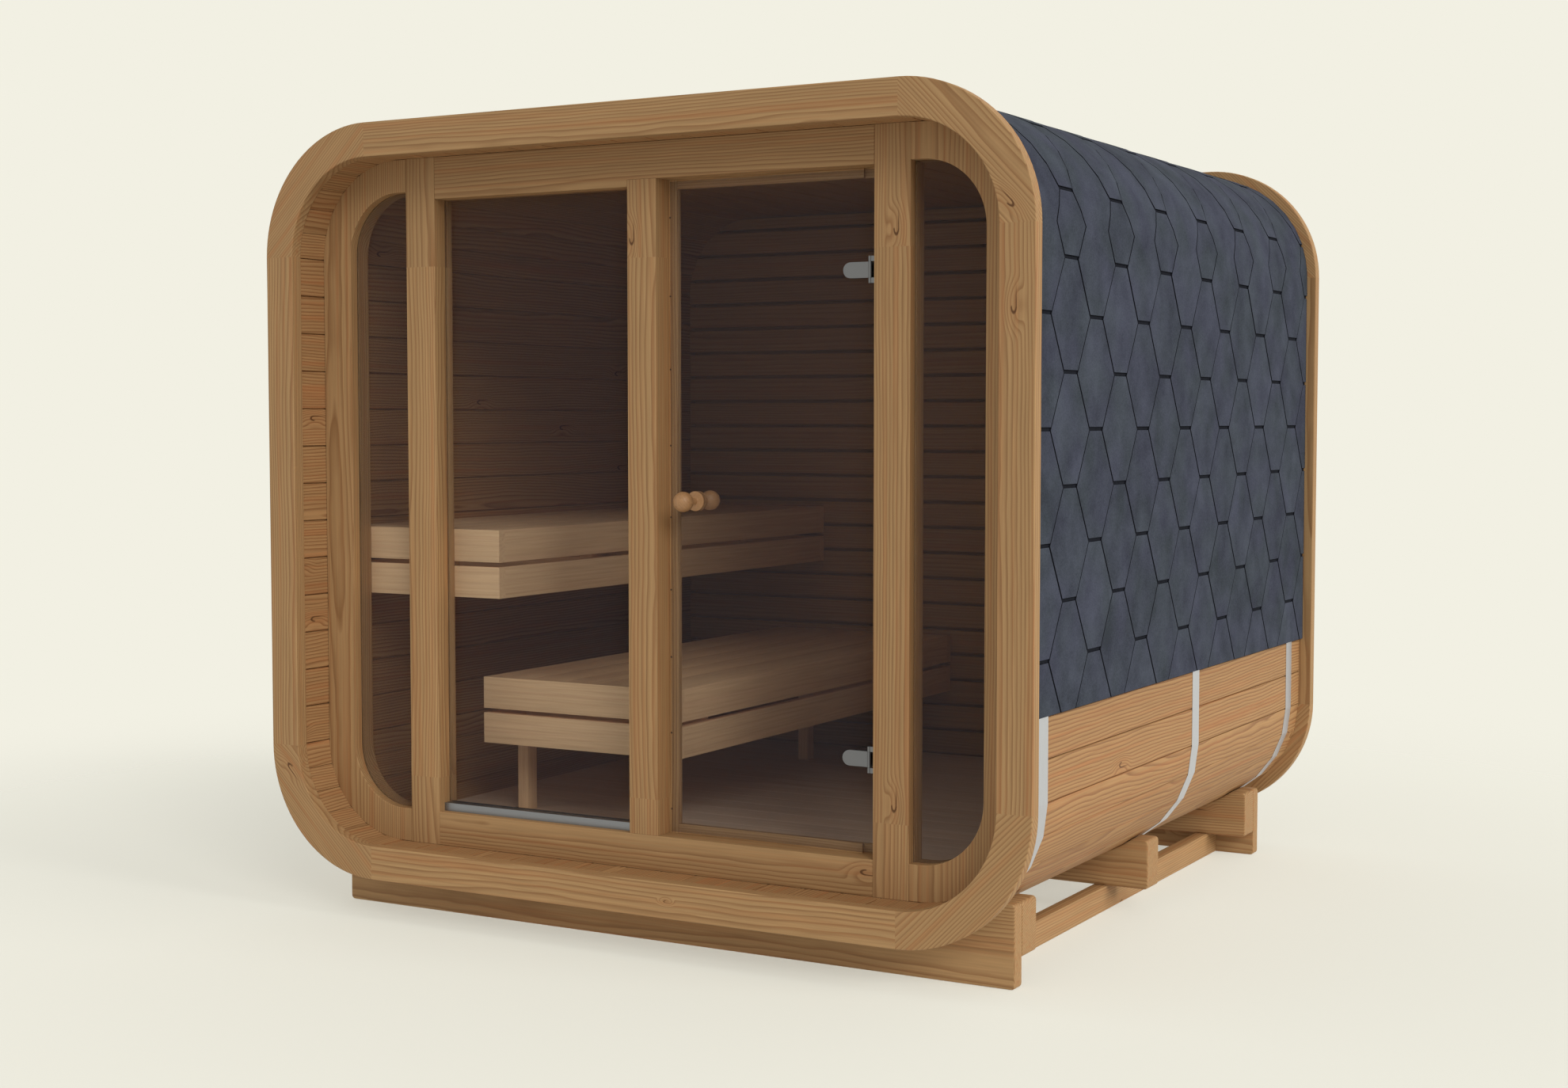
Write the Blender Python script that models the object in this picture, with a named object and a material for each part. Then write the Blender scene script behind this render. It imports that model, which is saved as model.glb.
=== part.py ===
"""Outdoor sauna cabin of rounded square section, standing on a timber base.

The barrel is built of lengthwise staves between two glued end rings, hooped by three steel
straps and covered with shingles over the roof and the upper sides. A recessed front wall
holds two narrow side panes, one fixed pane and one hinged glass door. Inside are a boarded
floor, a boarded back wall and two benches on the left.

Axes: X to the right seen from the front, Y into the cabin, Z up, in metres. The origin is on
the ground, under the middle of the cabin.
"""

import math

import bmesh
import bpy
from mathutils import Matrix, Vector

# Overall form
WIDTH = 2.300
HEIGHT = 2.054
DEPTH = 2.290
RAISE = 0.112
CORNER = 0.350
ARC_STEPS = 12

# Fits
FIT = 0.0003
SEAT_FIT = 0.0008

# End rings
RING_FACE = 0.092
RING_THICK = 0.037
RING_EDGE = 0.002
RING_JOINT_WIDE = 0.0024
RING_JOINT_DEEP = 0.0012

# Staves
STAVE_INSET = 0.038
STAVE_THICK = 0.048
STAVES_ACROSS = 15
STAVES_UP = 13
STAVES_CORNER = 6
GROOVE_WIDE = 0.0036
GROOVE_DEEP = 0.0022

# Shingles and straps
SHINGLE_FACE_INSET = 0.027
SHINGLE_BACK_RISE = 0.0022
SHINGLE_EDGE_RISE = 0.561
STRAP_WIDE = 0.056
STRAP_THICK = 0.0009
STRAP_FRONT = 0.151
STRAP_PAST_CRADLE = 0.100
STRAP_REAR = 0.153

# Base
BEAM_INSET = 0.121
BEAM_FRONT = 0.1835
BEAM_THICK = 0.045
BEAM_RISE = 0.095
CRADLE_THICK = 0.088
RAIL_INSET = 0.121
RAIL_WIDE = 0.040
RAIL_HIGH = 0.070
TIMBER_ROUND = 0.010
TIMBER_STEPS = 3

# Front wall
WALL_FRONT = 0.136
WALL_THICK = 0.076
SIDE_BAY = 0.382
POST_WIDE = 0.098
MIDDLE_WIDE = 0.088
BOTTOM_RAIL_HIGH = 0.092
TOP_RAIL_HIGH = 0.095
RAIL_OVER_PANE = 0.018
SIDE_FRAME_WIDE = 0.097
SIDE_FRAME_HEAD = 0.090
STOP_WIDE = 0.028
STOP_HIGH = 0.025
STOP_CLEAR = 0.005

# Glazing
PANE_SETBACK = 0.046
PANE_THICK = 0.008
SIDE_PANE_SETBACK = 0.027
SIDE_PANE_THICK = 0.006
GROOVE_DEPTH = 0.010
SILL_HIGH = 0.022
SILL_SETBACK = 0.022
SILL_BEHIND = 0.007
SILL_FLOOR = 0.003

# Door and its fittings
DOOR_LATCH_CLEAR = 0.014
DOOR_HINGE_CLEAR = 0.011
DOOR_END_CLEAR = 0.006
AXIS_TO_POST = 0.0285
AXIS_OFFSET = 0.010
KNUCKLE_RADIUS = 0.0048
PIN_RADIUS = 0.0023
PIN_CLEAR = 0.0004
HINGE_FROM_TOP = 0.250
HINGE_FROM_BOTTOM = 0.241
LEAF_HIGH = 0.066
LEAF_THICK = 0.005
LEAF_WIDE = 0.036
ARM_THICK = 0.006
CLAMP_HIGH = 0.039
CLAMP_LONG = 0.077
CLAMP_THICK = 0.006
CLAMP_BACK_THICK = 0.005
KNUCKLE_CLEAR = 0.0005
BOLT_RADIUS = 0.006
BOLT_INSET = 0.036
KNOB_FROM_LATCH = 0.0765
KNOB_RISE = 0.870
KNOB_BALL = 0.0265
KNOB_REACH = 0.061
KNOB_COLLAR = 0.026
KNOB_COLLAR_THICK = 0.006
KNOB_NECK = 0.009
KNOB_SPINDLE = 0.006
KNOB_STEPS = 20
KNOB_BALL_STEPS = 9
BAR_STEPS = 16
PIN_STEPS = 12
PLATE_STEPS = 8

# Inside
FLOOR_THICK = 0.038
FLOOR_BOARDS = 18
BACK_BOARD = 0.089
BENCH_BOARD = 0.028
BENCH_GAP = 0.013
BENCH_LOWER_BOARD = 0.086
BENCH_HIGH = 0.188
UPPER_BENCH_RISE = 0.831
UPPER_BENCH_WIDE = 0.546
LOWER_BENCH_RISE = 0.405
LOWER_BENCH_WIDE = 0.653
LOWER_BENCH_OFF_WALL = 0.380
LOWER_BENCH_SHORT = 0.145
BEARER_WIDE = 0.036
UPRIGHT = 0.045
LEG_WIDE = 0.036
LEG_DEEP = 0.044
LOWER_BEARER_IN = (0.163, 0.338)
UPPER_BEARER_IN = (0.488, 0.528)
FAR_LEG_IN = 0.254

# Sizes worked out from the ones above
HALF_WIDTH = WIDTH / 2
HALF_DEPTH = DEPTH / 2
TOP = RAISE + HEIGHT
INNER_INSET = STAVE_INSET + STAVE_THICK
CORNER_X = HALF_WIDTH - CORNER
CORNER_LOW = RAISE + CORNER
CORNER_HIGH = TOP - CORNER
WALL_BACK = WALL_FRONT + WALL_THICK
PANE_FRONT = WALL_FRONT + PANE_SETBACK
PANE_BACK = PANE_FRONT + PANE_THICK
BACK_WALL_FRONT = DEPTH - WALL_BACK
BACK_WALL_BACK = DEPTH - WALL_FRONT
SHINGLE_EDGE_Z = RAISE + SHINGLE_EDGE_RISE
BEAM_HALF = HALF_WIDTH - BEAM_INSET
BEAM_TOP = RAISE + BEAM_RISE
RAIL_OUTER = BEAM_HALF - RAIL_INSET
POST_OUTER = HALF_WIDTH - SIDE_BAY
POST_INNER = POST_OUTER - POST_WIDE
MIDDLE_HALF = MIDDLE_WIDE / 2
BAY_BOTTOM = RAISE + INNER_INSET + BOTTOM_RAIL_HIGH
BAY_TOP = TOP - INNER_INSET - TOP_RAIL_HIGH
PANE_BAY_TOP = BAY_TOP - RAIL_OVER_PANE
SIDE_WINDOW_INSET = INNER_INSET + SIDE_FRAME_WIDE
SIDE_WINDOW_BOTTOM = BAY_BOTTOM
SIDE_WINDOW_TOP = TOP - INNER_INSET - SIDE_FRAME_HEAD
DOOR_LATCH_X = MIDDLE_HALF + DOOR_LATCH_CLEAR
AXIS_X = POST_INNER - AXIS_TO_POST
HINGE_TOP_Z = BAY_TOP - HINGE_FROM_TOP
HINGE_BOTTOM_Z = BAY_BOTTOM + HINGE_FROM_BOTTOM
KNOB_X = DOOR_LATCH_X + KNOB_FROM_LATCH
KNOB_Z = BAY_BOTTOM + KNOB_RISE
FLOOR_TOP = RAISE + INNER_INSET + FLOOR_THICK

MATERIALS = {
    "glulam_pine": ((0.36, 0.22, 0.115), 0.62, 0.0),
    "stave_pine": ((0.47, 0.27, 0.13), 0.62, 0.0),
    "bench_wood": ((0.50, 0.34, 0.20), 0.60, 0.0),
    "bitumen_shingle": ((0.060, 0.070, 0.088), 0.90, 0.0),
    "strap_steel": ((0.58, 0.59, 0.60), 0.35, 1.0),
    "sill_aluminium": ((0.55, 0.56, 0.58), 0.35, 1.0),
    "hinge_steel": ((0.40, 0.40, 0.41), 0.30, 1.0),
    "tinted_glass": ((0.10, 0.075, 0.06), 0.05, 0.0),
    "knob_wood": ((0.50, 0.33, 0.18), 0.45, 0.0),
}


def y_at(depth):
    """Y of a place that lies this far behind the front ring's face."""
    return depth - HALF_DEPTH


def clear_scene():
    """Removes every object that the open file holds."""
    for obj in list(bpy.data.objects):
        bpy.data.objects.remove(obj, do_unlink=True)


def material(name):
    """The Principled material of this name, made on its first use."""
    found = bpy.data.materials.get(name)
    if found:
        return found
    colour, roughness, metallic = MATERIALS[name]
    made = bpy.data.materials.new(name)
    made.use_nodes = True
    shader = made.node_tree.nodes["Principled BSDF"]
    shader.inputs["Base Color"].default_value = (*colour, 1.0)
    shader.inputs["Roughness"].default_value = roughness
    shader.inputs["Metallic"].default_value = metallic
    return made


def add_object(name, mesh_source, surface, location=(0, 0, 0), turn_y=0.0):
    """Puts a bmesh into a named object, with its faces turned outward."""
    bmesh.ops.recalc_face_normals(mesh_source, faces=mesh_source.faces[:])
    mesh = bpy.data.meshes.new(name)
    mesh_source.to_mesh(mesh)
    mesh_source.free()
    obj = bpy.data.objects.new(name, mesh)
    obj.location = location
    obj.rotation_euler = (0.0, turn_y, 0.0)
    bpy.context.scene.collection.objects.link(obj)
    if surface:
        mesh.materials.append(material(surface))
    return obj


def hide_tool(obj):
    """Marks a shape that only cuts or joins others."""
    obj.hide_render = True
    obj.display_type = "WIRE"
    return obj


def combine(obj, tool, operation):
    """Cuts, joins or intersects an object with a tool shape."""
    step = obj.modifiers.new(operation.title(), "BOOLEAN")
    step.operation = operation
    step.solver = "EXACT"
    step.object = tool
    return obj


def chamfer(obj, width, angle=50.0):
    """Breaks the sharp edges of a timber."""
    step = obj.modifiers.new("Eased edges", "BEVEL")
    step.width = width
    step.segments = 1
    step.limit_method = "ANGLE"
    step.angle_limit = math.radians(angle)
    step.use_clamp_overlap = True
    return obj


def shade_round(obj, angle=35.0):
    """Shades the round faces of a turned piece smooth."""
    obj.data.shade_smooth()
    obj.data.set_sharp_from_angle(angle=math.radians(angle))
    return obj


def extruded(points, axis, start, end):
    """A bmesh of a flat outline carried from start to end along an axis.

    The outline's two numbers are (X, Z) for axis Y, (X, Y) for axis Z and (Y, Z) for axis X.
    """
    def place(first, second, along):
        if axis == "Y":
            return (first, along, second)
        if axis == "Z":
            return (first, second, along)
        return (along, first, second)

    mesh = bmesh.new()
    loop = [mesh.verts.new(place(a, b, start)) for a, b in points]
    face = mesh.faces.new(loop)
    moved = bmesh.ops.extrude_face_region(mesh, geom=[face])
    new_points = [item for item in moved["geom"] if isinstance(item, bmesh.types.BMVert)]
    shift = Vector(place(0.0, 0.0, end - start))
    bmesh.ops.translate(mesh, verts=new_points, vec=shift)
    return mesh


def box(x0, x1, y0, y1, z0, z1):
    """A bmesh of an upright box between two corners."""
    return extruded([(x0, y0), (x1, y0), (x1, y1), (x0, y1)], "Z", z0, z1)


def arc(centre, radius, start_deg, end_deg, steps):
    """Points of an arc, both ends included, anticlockwise for a growing angle."""
    points = []
    for index in range(steps + 1):
        angle = math.radians(start_deg + (end_deg - start_deg) * index / steps)
        points.append((centre[0] + radius * math.cos(angle), centre[1] + radius * math.sin(angle)))
    return points


def cabin_outline(inset, steps):
    """The cabin's rounded outline in (X, Z), moved inward by inset."""
    radius = CORNER - inset
    corners = [
        ((CORNER_X, CORNER_LOW), -90.0),
        ((CORNER_X, CORNER_HIGH), 0.0),
        ((-CORNER_X, CORNER_HIGH), 90.0),
        ((-CORNER_X, CORNER_LOW), 180.0),
    ]
    points = []
    for centre, start in corners:
        points += arc(centre, radius, start, start + 90.0, steps)
    return points


def hollow(outer, inner, start, end):
    """A bmesh of a closed band between two outlines of equal count, along Y."""
    mesh = bmesh.new()
    rows = []
    for y in (start, end):
        rows.append([mesh.verts.new((x, y, z)) for x, z in outer])
        rows.append([mesh.verts.new((x, y, z)) for x, z in inner])
    outer_a, inner_a, outer_b, inner_b = rows
    count = len(outer)
    for i in range(count):
        j = (i + 1) % count
        mesh.faces.new((outer_a[i], outer_a[j], inner_a[j], inner_a[i]))
        mesh.faces.new((outer_b[i], inner_b[i], inner_b[j], outer_b[j]))
        mesh.faces.new((outer_a[i], outer_b[i], outer_b[j], outer_a[j]))
        mesh.faces.new((inner_a[i], inner_a[j], inner_b[j], inner_b[i]))
    return mesh


def ring_joint_tool(name, face, inward):
    """Cutter for the fine V joint at each end of each corner piece, on one face of a ring."""
    half = RING_JOINT_WIDE / 2
    mouth = face - inward * RING_JOINT_DEEP
    root = face + inward * RING_JOINT_DEEP
    over = RING_THICK
    tool = bmesh.new()

    def wedge(points, axis, start, end):
        part = extruded(points, axis, start, end)
        piece = bpy.data.meshes.new("wedge")
        part.to_mesh(piece)
        part.free()
        tool.from_mesh(piece)
        bpy.data.meshes.remove(piece)

    for x in (-CORNER_X, CORNER_X):
        points = [(x - 2 * half, mouth), (x + 2 * half, mouth), (x, root)]
        for z0, z1 in ((RAISE - over, RAISE + RING_FACE + over), (TOP - RING_FACE - over, TOP + over)):
            wedge(points, "Z", z0, z1)
    for z in (CORNER_LOW, CORNER_HIGH):
        points = [(mouth, z - 2 * half), (mouth, z + 2 * half), (root, z)]
        for side in (-1.0, 1.0):
            x0, x1 = sorted((side * (HALF_WIDTH + over), side * (HALF_WIDTH - RING_FACE - over)))
            wedge(points, "X", x0, x1)
    return hide_tool(add_object(name, tool, None))


def make_ring(name, front):
    """One end ring, glued up from four boards and four corner pieces, with eased edges."""
    start = y_at(front)
    end = start + RING_THICK
    outer = cabin_outline(0.0, ARC_STEPS)
    inner = cabin_outline(RING_FACE, ARC_STEPS)
    ring = add_object(name, hollow(outer, inner, start, end), "glulam_pine")
    chamfer(ring, RING_EDGE)
    combine(ring, ring_joint_tool(f"{name}_front_joint_tool", start, 1.0), "DIFFERENCE")
    combine(ring, ring_joint_tool(f"{name}_rear_joint_tool", end, -1.0), "DIFFERENCE")
    return ring


def make_rings():
    """The front and the back ring."""
    make_ring("front_ring", 0.0)
    make_ring("back_ring", DEPTH - RING_THICK)


def notch(at, base, inward):
    """Three points of the groove between two staves on a flat side."""
    half = GROOVE_WIDE / 2
    return [(at - half, base), (at, base + inward * GROOVE_DEEP), (at + half, base)]


def flat_staves(length, count):
    """Outline of a flat run of staves: its outer side up, grooved at every joint."""
    half = length / 2 - FIT
    pitch = length / count
    joints = [-length / 2 + pitch * index for index in range(1, count)]
    outline = [(-half, -STAVE_THICK)]
    for at in joints:
        outline += notch(at, -STAVE_THICK, 1.0)
    outline += [(half, -STAVE_THICK), (half, 0.0)]
    for at in reversed(joints):
        outline += reversed(notch(at, 0.0, -1.0))
    outline.append((-half, 0.0))
    return outline


def corner_staves():
    """Outline of the quarter of narrow staves, round the origin from +X to +Z."""
    outer = CORNER - STAVE_INSET
    inner = CORNER - INNER_INSET
    step = 90.0 / STAVES_CORNER

    def polar(radius, angle):
        return (radius * math.cos(angle), radius * math.sin(angle))

    def side(radius, inward):
        half = GROOVE_WIDE / 2 / radius
        points = [polar(radius, 0.0)]
        for index in range(1, STAVES_CORNER):
            angle = math.radians(step * index)
            points += [
                polar(radius, angle - half),
                polar(radius + inward * GROOVE_DEEP, angle),
                polar(radius, angle + half),
            ]
        points.append(polar(radius, math.pi / 2))
        return points

    return side(outer, -1.0) + list(reversed(side(inner, 1.0)))


def make_staves():
    """Four flat runs and four quarters of staves between the two rings."""
    start = y_at(RING_THICK + FIT)
    end = y_at(DEPTH - RING_THICK - FIT)
    across = WIDTH - 2 * CORNER
    upright = HEIGHT - 2 * CORNER
    middle = RAISE + HEIGHT / 2
    flats = [
        ("roof_staves", across, STAVES_ACROSS, (0, 0, TOP - STAVE_INSET), 0.0),
        ("right_wall_staves", upright, STAVES_UP, (HALF_WIDTH - STAVE_INSET, 0, middle), 90.0),
        ("floor_staves", across, STAVES_ACROSS, (0, 0, RAISE + STAVE_INSET), 180.0),
        ("left_wall_staves", upright, STAVES_UP, (-HALF_WIDTH + STAVE_INSET, 0, middle), -90.0),
    ]
    for name, length, count, place, turn in flats:
        mesh = extruded(flat_staves(length, count), "Y", start, end)
        add_object(name, mesh, "stave_pine", place, math.radians(turn))
    quarters = [
        ("top_right_corner_staves", (CORNER_X, 0, CORNER_HIGH), 0.0),
        ("bottom_right_corner_staves", (CORNER_X, 0, CORNER_LOW), 90.0),
        ("bottom_left_corner_staves", (-CORNER_X, 0, CORNER_LOW), 180.0),
        ("top_left_corner_staves", (-CORNER_X, 0, CORNER_HIGH), -90.0),
    ]
    for name, place, turn in quarters:
        mesh = extruded(corner_staves(), "Y", start, end)
        add_object(name, mesh, "stave_pine", place, math.radians(turn))


def make_shingles():
    """The covering of the roof and the upper sides, one skin from edge to edge."""
    back = STAVE_INSET - SHINGLE_BACK_RISE

    def side(inset):
        radius = CORNER - inset
        reach = HALF_WIDTH - inset
        points = [(reach, SHINGLE_EDGE_Z)]
        points += arc((CORNER_X, CORNER_HIGH), radius, 0.0, 90.0, 2 * ARC_STEPS)
        points += arc((-CORNER_X, CORNER_HIGH), radius, 90.0, 180.0, 2 * ARC_STEPS)
        points.append((-reach, SHINGLE_EDGE_Z))
        return points

    outline = side(SHINGLE_FACE_INSET) + list(reversed(side(back)))
    mesh = extruded(outline, "Y", y_at(RING_THICK + FIT), y_at(DEPTH - RING_THICK - FIT))
    shade_round(add_object("shingle_cover", mesh, "bitumen_shingle"), 20.0)


def make_straps():
    """Three flat steel hoops round the staves, under the shingles."""
    inner = cabin_outline(STAVE_INSET - FIT, STAVES_CORNER)
    outer = cabin_outline(STAVE_INSET - FIT - STRAP_THICK, STAVES_CORNER)
    middle = HALF_DEPTH + STRAP_PAST_CRADLE
    places = (("front", STRAP_FRONT), ("middle", middle), ("rear", DEPTH - STRAP_REAR))
    for word, at in places:
        start = y_at(at - STRAP_WIDE / 2)
        mesh = hollow(outer, inner, start, start + STRAP_WIDE)
        add_object(f"{word}_strap", mesh, "strap_steel")


def seat_outline(bottom):
    """Outline of a cross timber with a seat for the barrel cut into its top."""
    radius = CORNER - STAVE_INSET + SEAT_FIT
    step = 90.0 / STAVES_CORNER
    seat = []
    for index in range(STAVES_CORNER + 1):
        angle = math.radians(-90.0 + step * index)
        x = CORNER_X + radius * math.cos(angle)
        z = CORNER_LOW + radius * math.sin(angle)
        if z > BEAM_TOP:
            last_x, last_z = seat[-1]
            share = (BEAM_TOP - last_z) / (z - last_z)
            seat.append((last_x + share * (x - last_x), BEAM_TOP))
            break
        seat.append((x, z))
    round_x = BEAM_HALF - TIMBER_ROUND
    upper = arc((round_x, BEAM_TOP - TIMBER_ROUND), TIMBER_ROUND, 0.0, 90.0, TIMBER_STEPS)
    lower = arc((round_x, bottom + TIMBER_ROUND), TIMBER_ROUND, -90.0, 0.0, TIMBER_STEPS)
    end = [(round_x, BEAM_TOP)] + upper[-2::-1] + lower[::-1]
    right = seat + end
    left = [(-x, z) for x, z in reversed(right)]
    return right + left


def make_base():
    """Two outer beams on the ground, two rails between them and three cradles on the rails."""
    front = BEAM_FRONT
    rear = DEPTH - BEAM_FRONT - BEAM_THICK
    for name, at in (("front_base_beam", front), ("rear_base_beam", rear)):
        mesh = extruded(seat_outline(0.0), "Y", y_at(at), y_at(at + BEAM_THICK))
        add_object(name, mesh, "glulam_pine")
    cradles = (
        ("front_cradle", front + BEAM_THICK + FIT),
        ("middle_cradle", HALF_DEPTH - CRADLE_THICK / 2),
        ("rear_cradle", rear - CRADLE_THICK - FIT),
    )
    for name, at in cradles:
        mesh = extruded(seat_outline(RAIL_HIGH + FIT), "Y", y_at(at), y_at(at + CRADLE_THICK))
        add_object(name, mesh, "glulam_pine")
    for word, side in (("left", -1.0), ("right", 1.0)):
        edges = sorted((side * RAIL_OUTER, side * (RAIL_OUTER - RAIL_WIDE)))
        mesh = box(*edges, y_at(front + BEAM_THICK + FIT), y_at(rear - FIT), 0.0, RAIL_HIGH)
        rail = add_object(f"{word}_base_rail", mesh, "glulam_pine")
        chamfer(rail, RING_EDGE)


def side_window(side, grow, steps):
    """Outline of a side window's opening, grown outward by a margin."""
    inset = SIDE_WINDOW_INSET - grow
    reach = HALF_WIDTH - inset
    radius = CORNER - SIDE_WINDOW_INSET + grow
    low = SIDE_WINDOW_BOTTOM - grow
    high = SIDE_WINDOW_TOP + grow
    points = [(POST_OUTER - grow, low)]
    points += arc((reach - radius, low + radius), radius, -90.0, 0.0, steps)
    points += arc((reach - radius, high - radius), radius, 0.0, 90.0, steps)
    points.append((POST_OUTER - grow, high))
    return [(side * x, z) for x, z in points]


def side_frame_outline(side):
    """Outline of the boards round a side window, open towards the post."""
    radius = CORNER - INNER_INSET - SEAT_FIT
    low = RAISE + INNER_INSET + SEAT_FIT
    high = TOP - INNER_INSET - SEAT_FIT
    near = POST_OUTER + FIT
    window = side_window(1.0, 0.0, ARC_STEPS)[1:-1]
    points = [(near, low)]
    points += arc((CORNER_X, CORNER_LOW), radius, -90.0, 0.0, STAVES_CORNER)
    points += arc((CORNER_X, CORNER_HIGH), radius, 0.0, 90.0, STAVES_CORNER)
    points += [(near, high), (near, SIDE_WINDOW_TOP)]
    points += reversed(window)
    points.append((near, SIDE_WINDOW_BOTTOM))
    return [(side * x, z) for x, z in points]


def groove_points(edge_x, side, setback, thickness):
    """Four plan points of a glazing groove in a post's side face, front to back."""
    deep = edge_x - side * (GROOVE_DEPTH + FIT)
    front = y_at(WALL_FRONT + setback - FIT)
    back = y_at(WALL_FRONT + setback + thickness + FIT)
    return [(edge_x, front), (deep, front), (deep, back), (edge_x, back)]


def make_posts():
    """The two outer posts and the middle post with its door stop."""
    low = RAISE + INNER_INSET + SEAT_FIT
    high = TOP - INNER_INSET - SEAT_FIT
    front = y_at(WALL_FRONT)
    back = y_at(WALL_BACK)
    side_groove = (SIDE_PANE_SETBACK, SIDE_PANE_THICK)
    left = [(-POST_OUTER, front), (-POST_INNER, front)]
    left += groove_points(-POST_INNER, 1.0, PANE_SETBACK, PANE_THICK)
    left += [(-POST_INNER, back), (-POST_OUTER, back)]
    left += reversed(groove_points(-POST_OUTER, -1.0, *side_groove))
    add_object("left_post", extruded(left, "Z", low, high), "glulam_pine")
    right = [(POST_INNER, front), (POST_OUTER, front)]
    right += groove_points(POST_OUTER, 1.0, *side_groove)
    right += [(POST_OUTER, back), (POST_INNER, back)]
    add_object("right_post", extruded(right, "Z", low, high), "glulam_pine")
    stop_front = y_at(PANE_BACK + STOP_CLEAR)
    middle = [(-MIDDLE_HALF, front), (MIDDLE_HALF, front), (MIDDLE_HALF, stop_front)]
    middle += [(MIDDLE_HALF + STOP_WIDE, stop_front), (MIDDLE_HALF + STOP_WIDE, back), (-MIDDLE_HALF, back)]
    middle += reversed(groove_points(-MIDDLE_HALF, -1.0, PANE_SETBACK, PANE_THICK))
    mesh = extruded(middle, "Z", BAY_BOTTOM + FIT, BAY_TOP - FIT)
    add_object("middle_post", mesh, "glulam_pine")


def make_cross_rails():
    """The top and bottom rails, grooved for the fixed pane and stepped for the door."""
    low = RAISE + INNER_INSET + SEAT_FIT
    high = TOP - INNER_INSET - SEAT_FIT
    reach = POST_INNER - FIT
    front = y_at(WALL_FRONT)
    back = y_at(WALL_BACK)
    stop_left = MIDDLE_HALF + STOP_WIDE + FIT
    heel = math.hypot(POST_INNER - DOOR_HINGE_CLEAR - AXIS_X, AXIS_OFFSET + PANE_THICK)
    stop_right = AXIS_X - heel - STOP_CLEAR
    stop_front = y_at(PANE_BACK + STOP_CLEAR)
    over = STOP_HIGH
    groove = extruded(
        [
            (-POST_INNER - over, y_at(PANE_FRONT - FIT)),
            (-MIDDLE_HALF + GROOVE_DEPTH + FIT, y_at(PANE_FRONT - FIT)),
            (-MIDDLE_HALF + GROOVE_DEPTH + FIT, y_at(PANE_BACK + FIT)),
            (-POST_INNER - over, y_at(PANE_BACK + FIT)),
        ],
        "Z",
        BAY_BOTTOM + SILL_HIGH,
        PANE_BAY_TOP + GROOVE_DEPTH + FIT,
    )
    pane_groove = hide_tool(add_object("pane_groove_tool", groove, None))
    step = -MIDDLE_HALF - FIT
    lower = [(-reach, low), (reach, low), (reach, BAY_BOTTOM), (-reach, BAY_BOTTOM)]
    upper = [(-reach, PANE_BAY_TOP), (step, PANE_BAY_TOP), (step, BAY_TOP)]
    upper += [(reach, BAY_TOP), (reach, high), (-reach, high)]
    rails = (
        ("bottom_rail", lower, BAY_BOTTOM - over, BAY_BOTTOM + STOP_HIGH),
        ("top_rail", upper, BAY_TOP - STOP_HIGH, BAY_TOP + over),
    )
    for name, outline, stop_low, stop_high in rails:
        rail = add_object(name, extruded(outline, "Y", front, back), "glulam_pine")
        stop = box(stop_left, stop_right, stop_front, back, stop_low, stop_high)
        combine(rail, hide_tool(add_object(f"{name}_stop_tool", stop, None)), "UNION")
        if name == "top_rail":
            combine(rail, pane_groove, "DIFFERENCE")


def make_side_windows():
    """The boards round each side window, and the pane let into their groove."""
    front = y_at(WALL_FRONT)
    back = y_at(WALL_BACK)
    pane_front = y_at(WALL_FRONT + SIDE_PANE_SETBACK)
    pane_back = pane_front + SIDE_PANE_THICK
    for word, side in (("left", -1.0), ("right", 1.0)):
        mesh = extruded(side_frame_outline(side), "Y", front, back)
        frame = add_object(f"{word}_side_frame", mesh, "glulam_pine")
        pocket = extruded(
            side_window(side, GROOVE_DEPTH + FIT, ARC_STEPS), "Y", pane_front - FIT, pane_back + FIT
        )
        combine(frame, hide_tool(add_object(f"{word}_pocket_tool", pocket, None)), "DIFFERENCE")
        pane = extruded(side_window(side, GROOVE_DEPTH, ARC_STEPS), "Y", pane_front, pane_back)
        add_object(f"{word}_side_pane", pane, "tinted_glass")


def make_fixed_pane():
    """The fixed pane of the left bay, standing in an aluminium sill profile."""
    left = -POST_INNER - GROOVE_DEPTH
    right = -MIDDLE_HALF + GROOVE_DEPTH
    low = BAY_BOTTOM + FIT
    pane_low = low + SILL_FLOOR + FIT
    front = y_at(PANE_FRONT)
    back = y_at(PANE_BACK)
    inside = (-POST_INNER + FIT, -MIDDLE_HALF - FIT)
    top = PANE_BAY_TOP + GROOVE_DEPTH
    notch_top = low + SILL_HIGH + FIT
    pane = [(inside[0], pane_low), (inside[1], pane_low), (inside[1], notch_top), (right, notch_top)]
    pane += [(right, top), (left, top), (left, notch_top), (inside[0], notch_top)]
    add_object("fixed_pane", extruded(pane, "Y", front, back), "tinted_glass")
    profile = [
        (y_at(WALL_FRONT + SILL_SETBACK), low),
        (back + SILL_BEHIND, low),
        (back + SILL_BEHIND, low + SILL_HIGH),
        (back + FIT, low + SILL_HIGH),
        (back + FIT, low + SILL_FLOOR),
        (front - FIT, low + SILL_FLOOR),
        (front - FIT, low + SILL_HIGH),
        (y_at(WALL_FRONT + SILL_SETBACK), low + SILL_HIGH),
    ]
    add_object("window_sill_profile", extruded(profile, "X", *inside), "sill_aluminium")


def cylinder(radius, axis, start, end, steps, centre=(0.0, 0.0)):
    """A bmesh of a round bar along an axis."""
    outline = arc(centre, radius, 0.0, 360.0, steps)[:-1]
    return extruded(outline, axis, start, end)


def door_parent():
    """The empty on the door's hinge axis, which carries all that swings."""
    pivot = bpy.data.objects.new("door_axis", None)
    pivot.location = (AXIS_X, y_at(PANE_FRONT - AXIS_OFFSET), 0.0)
    bpy.context.scene.collection.objects.link(pivot)
    return pivot


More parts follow.
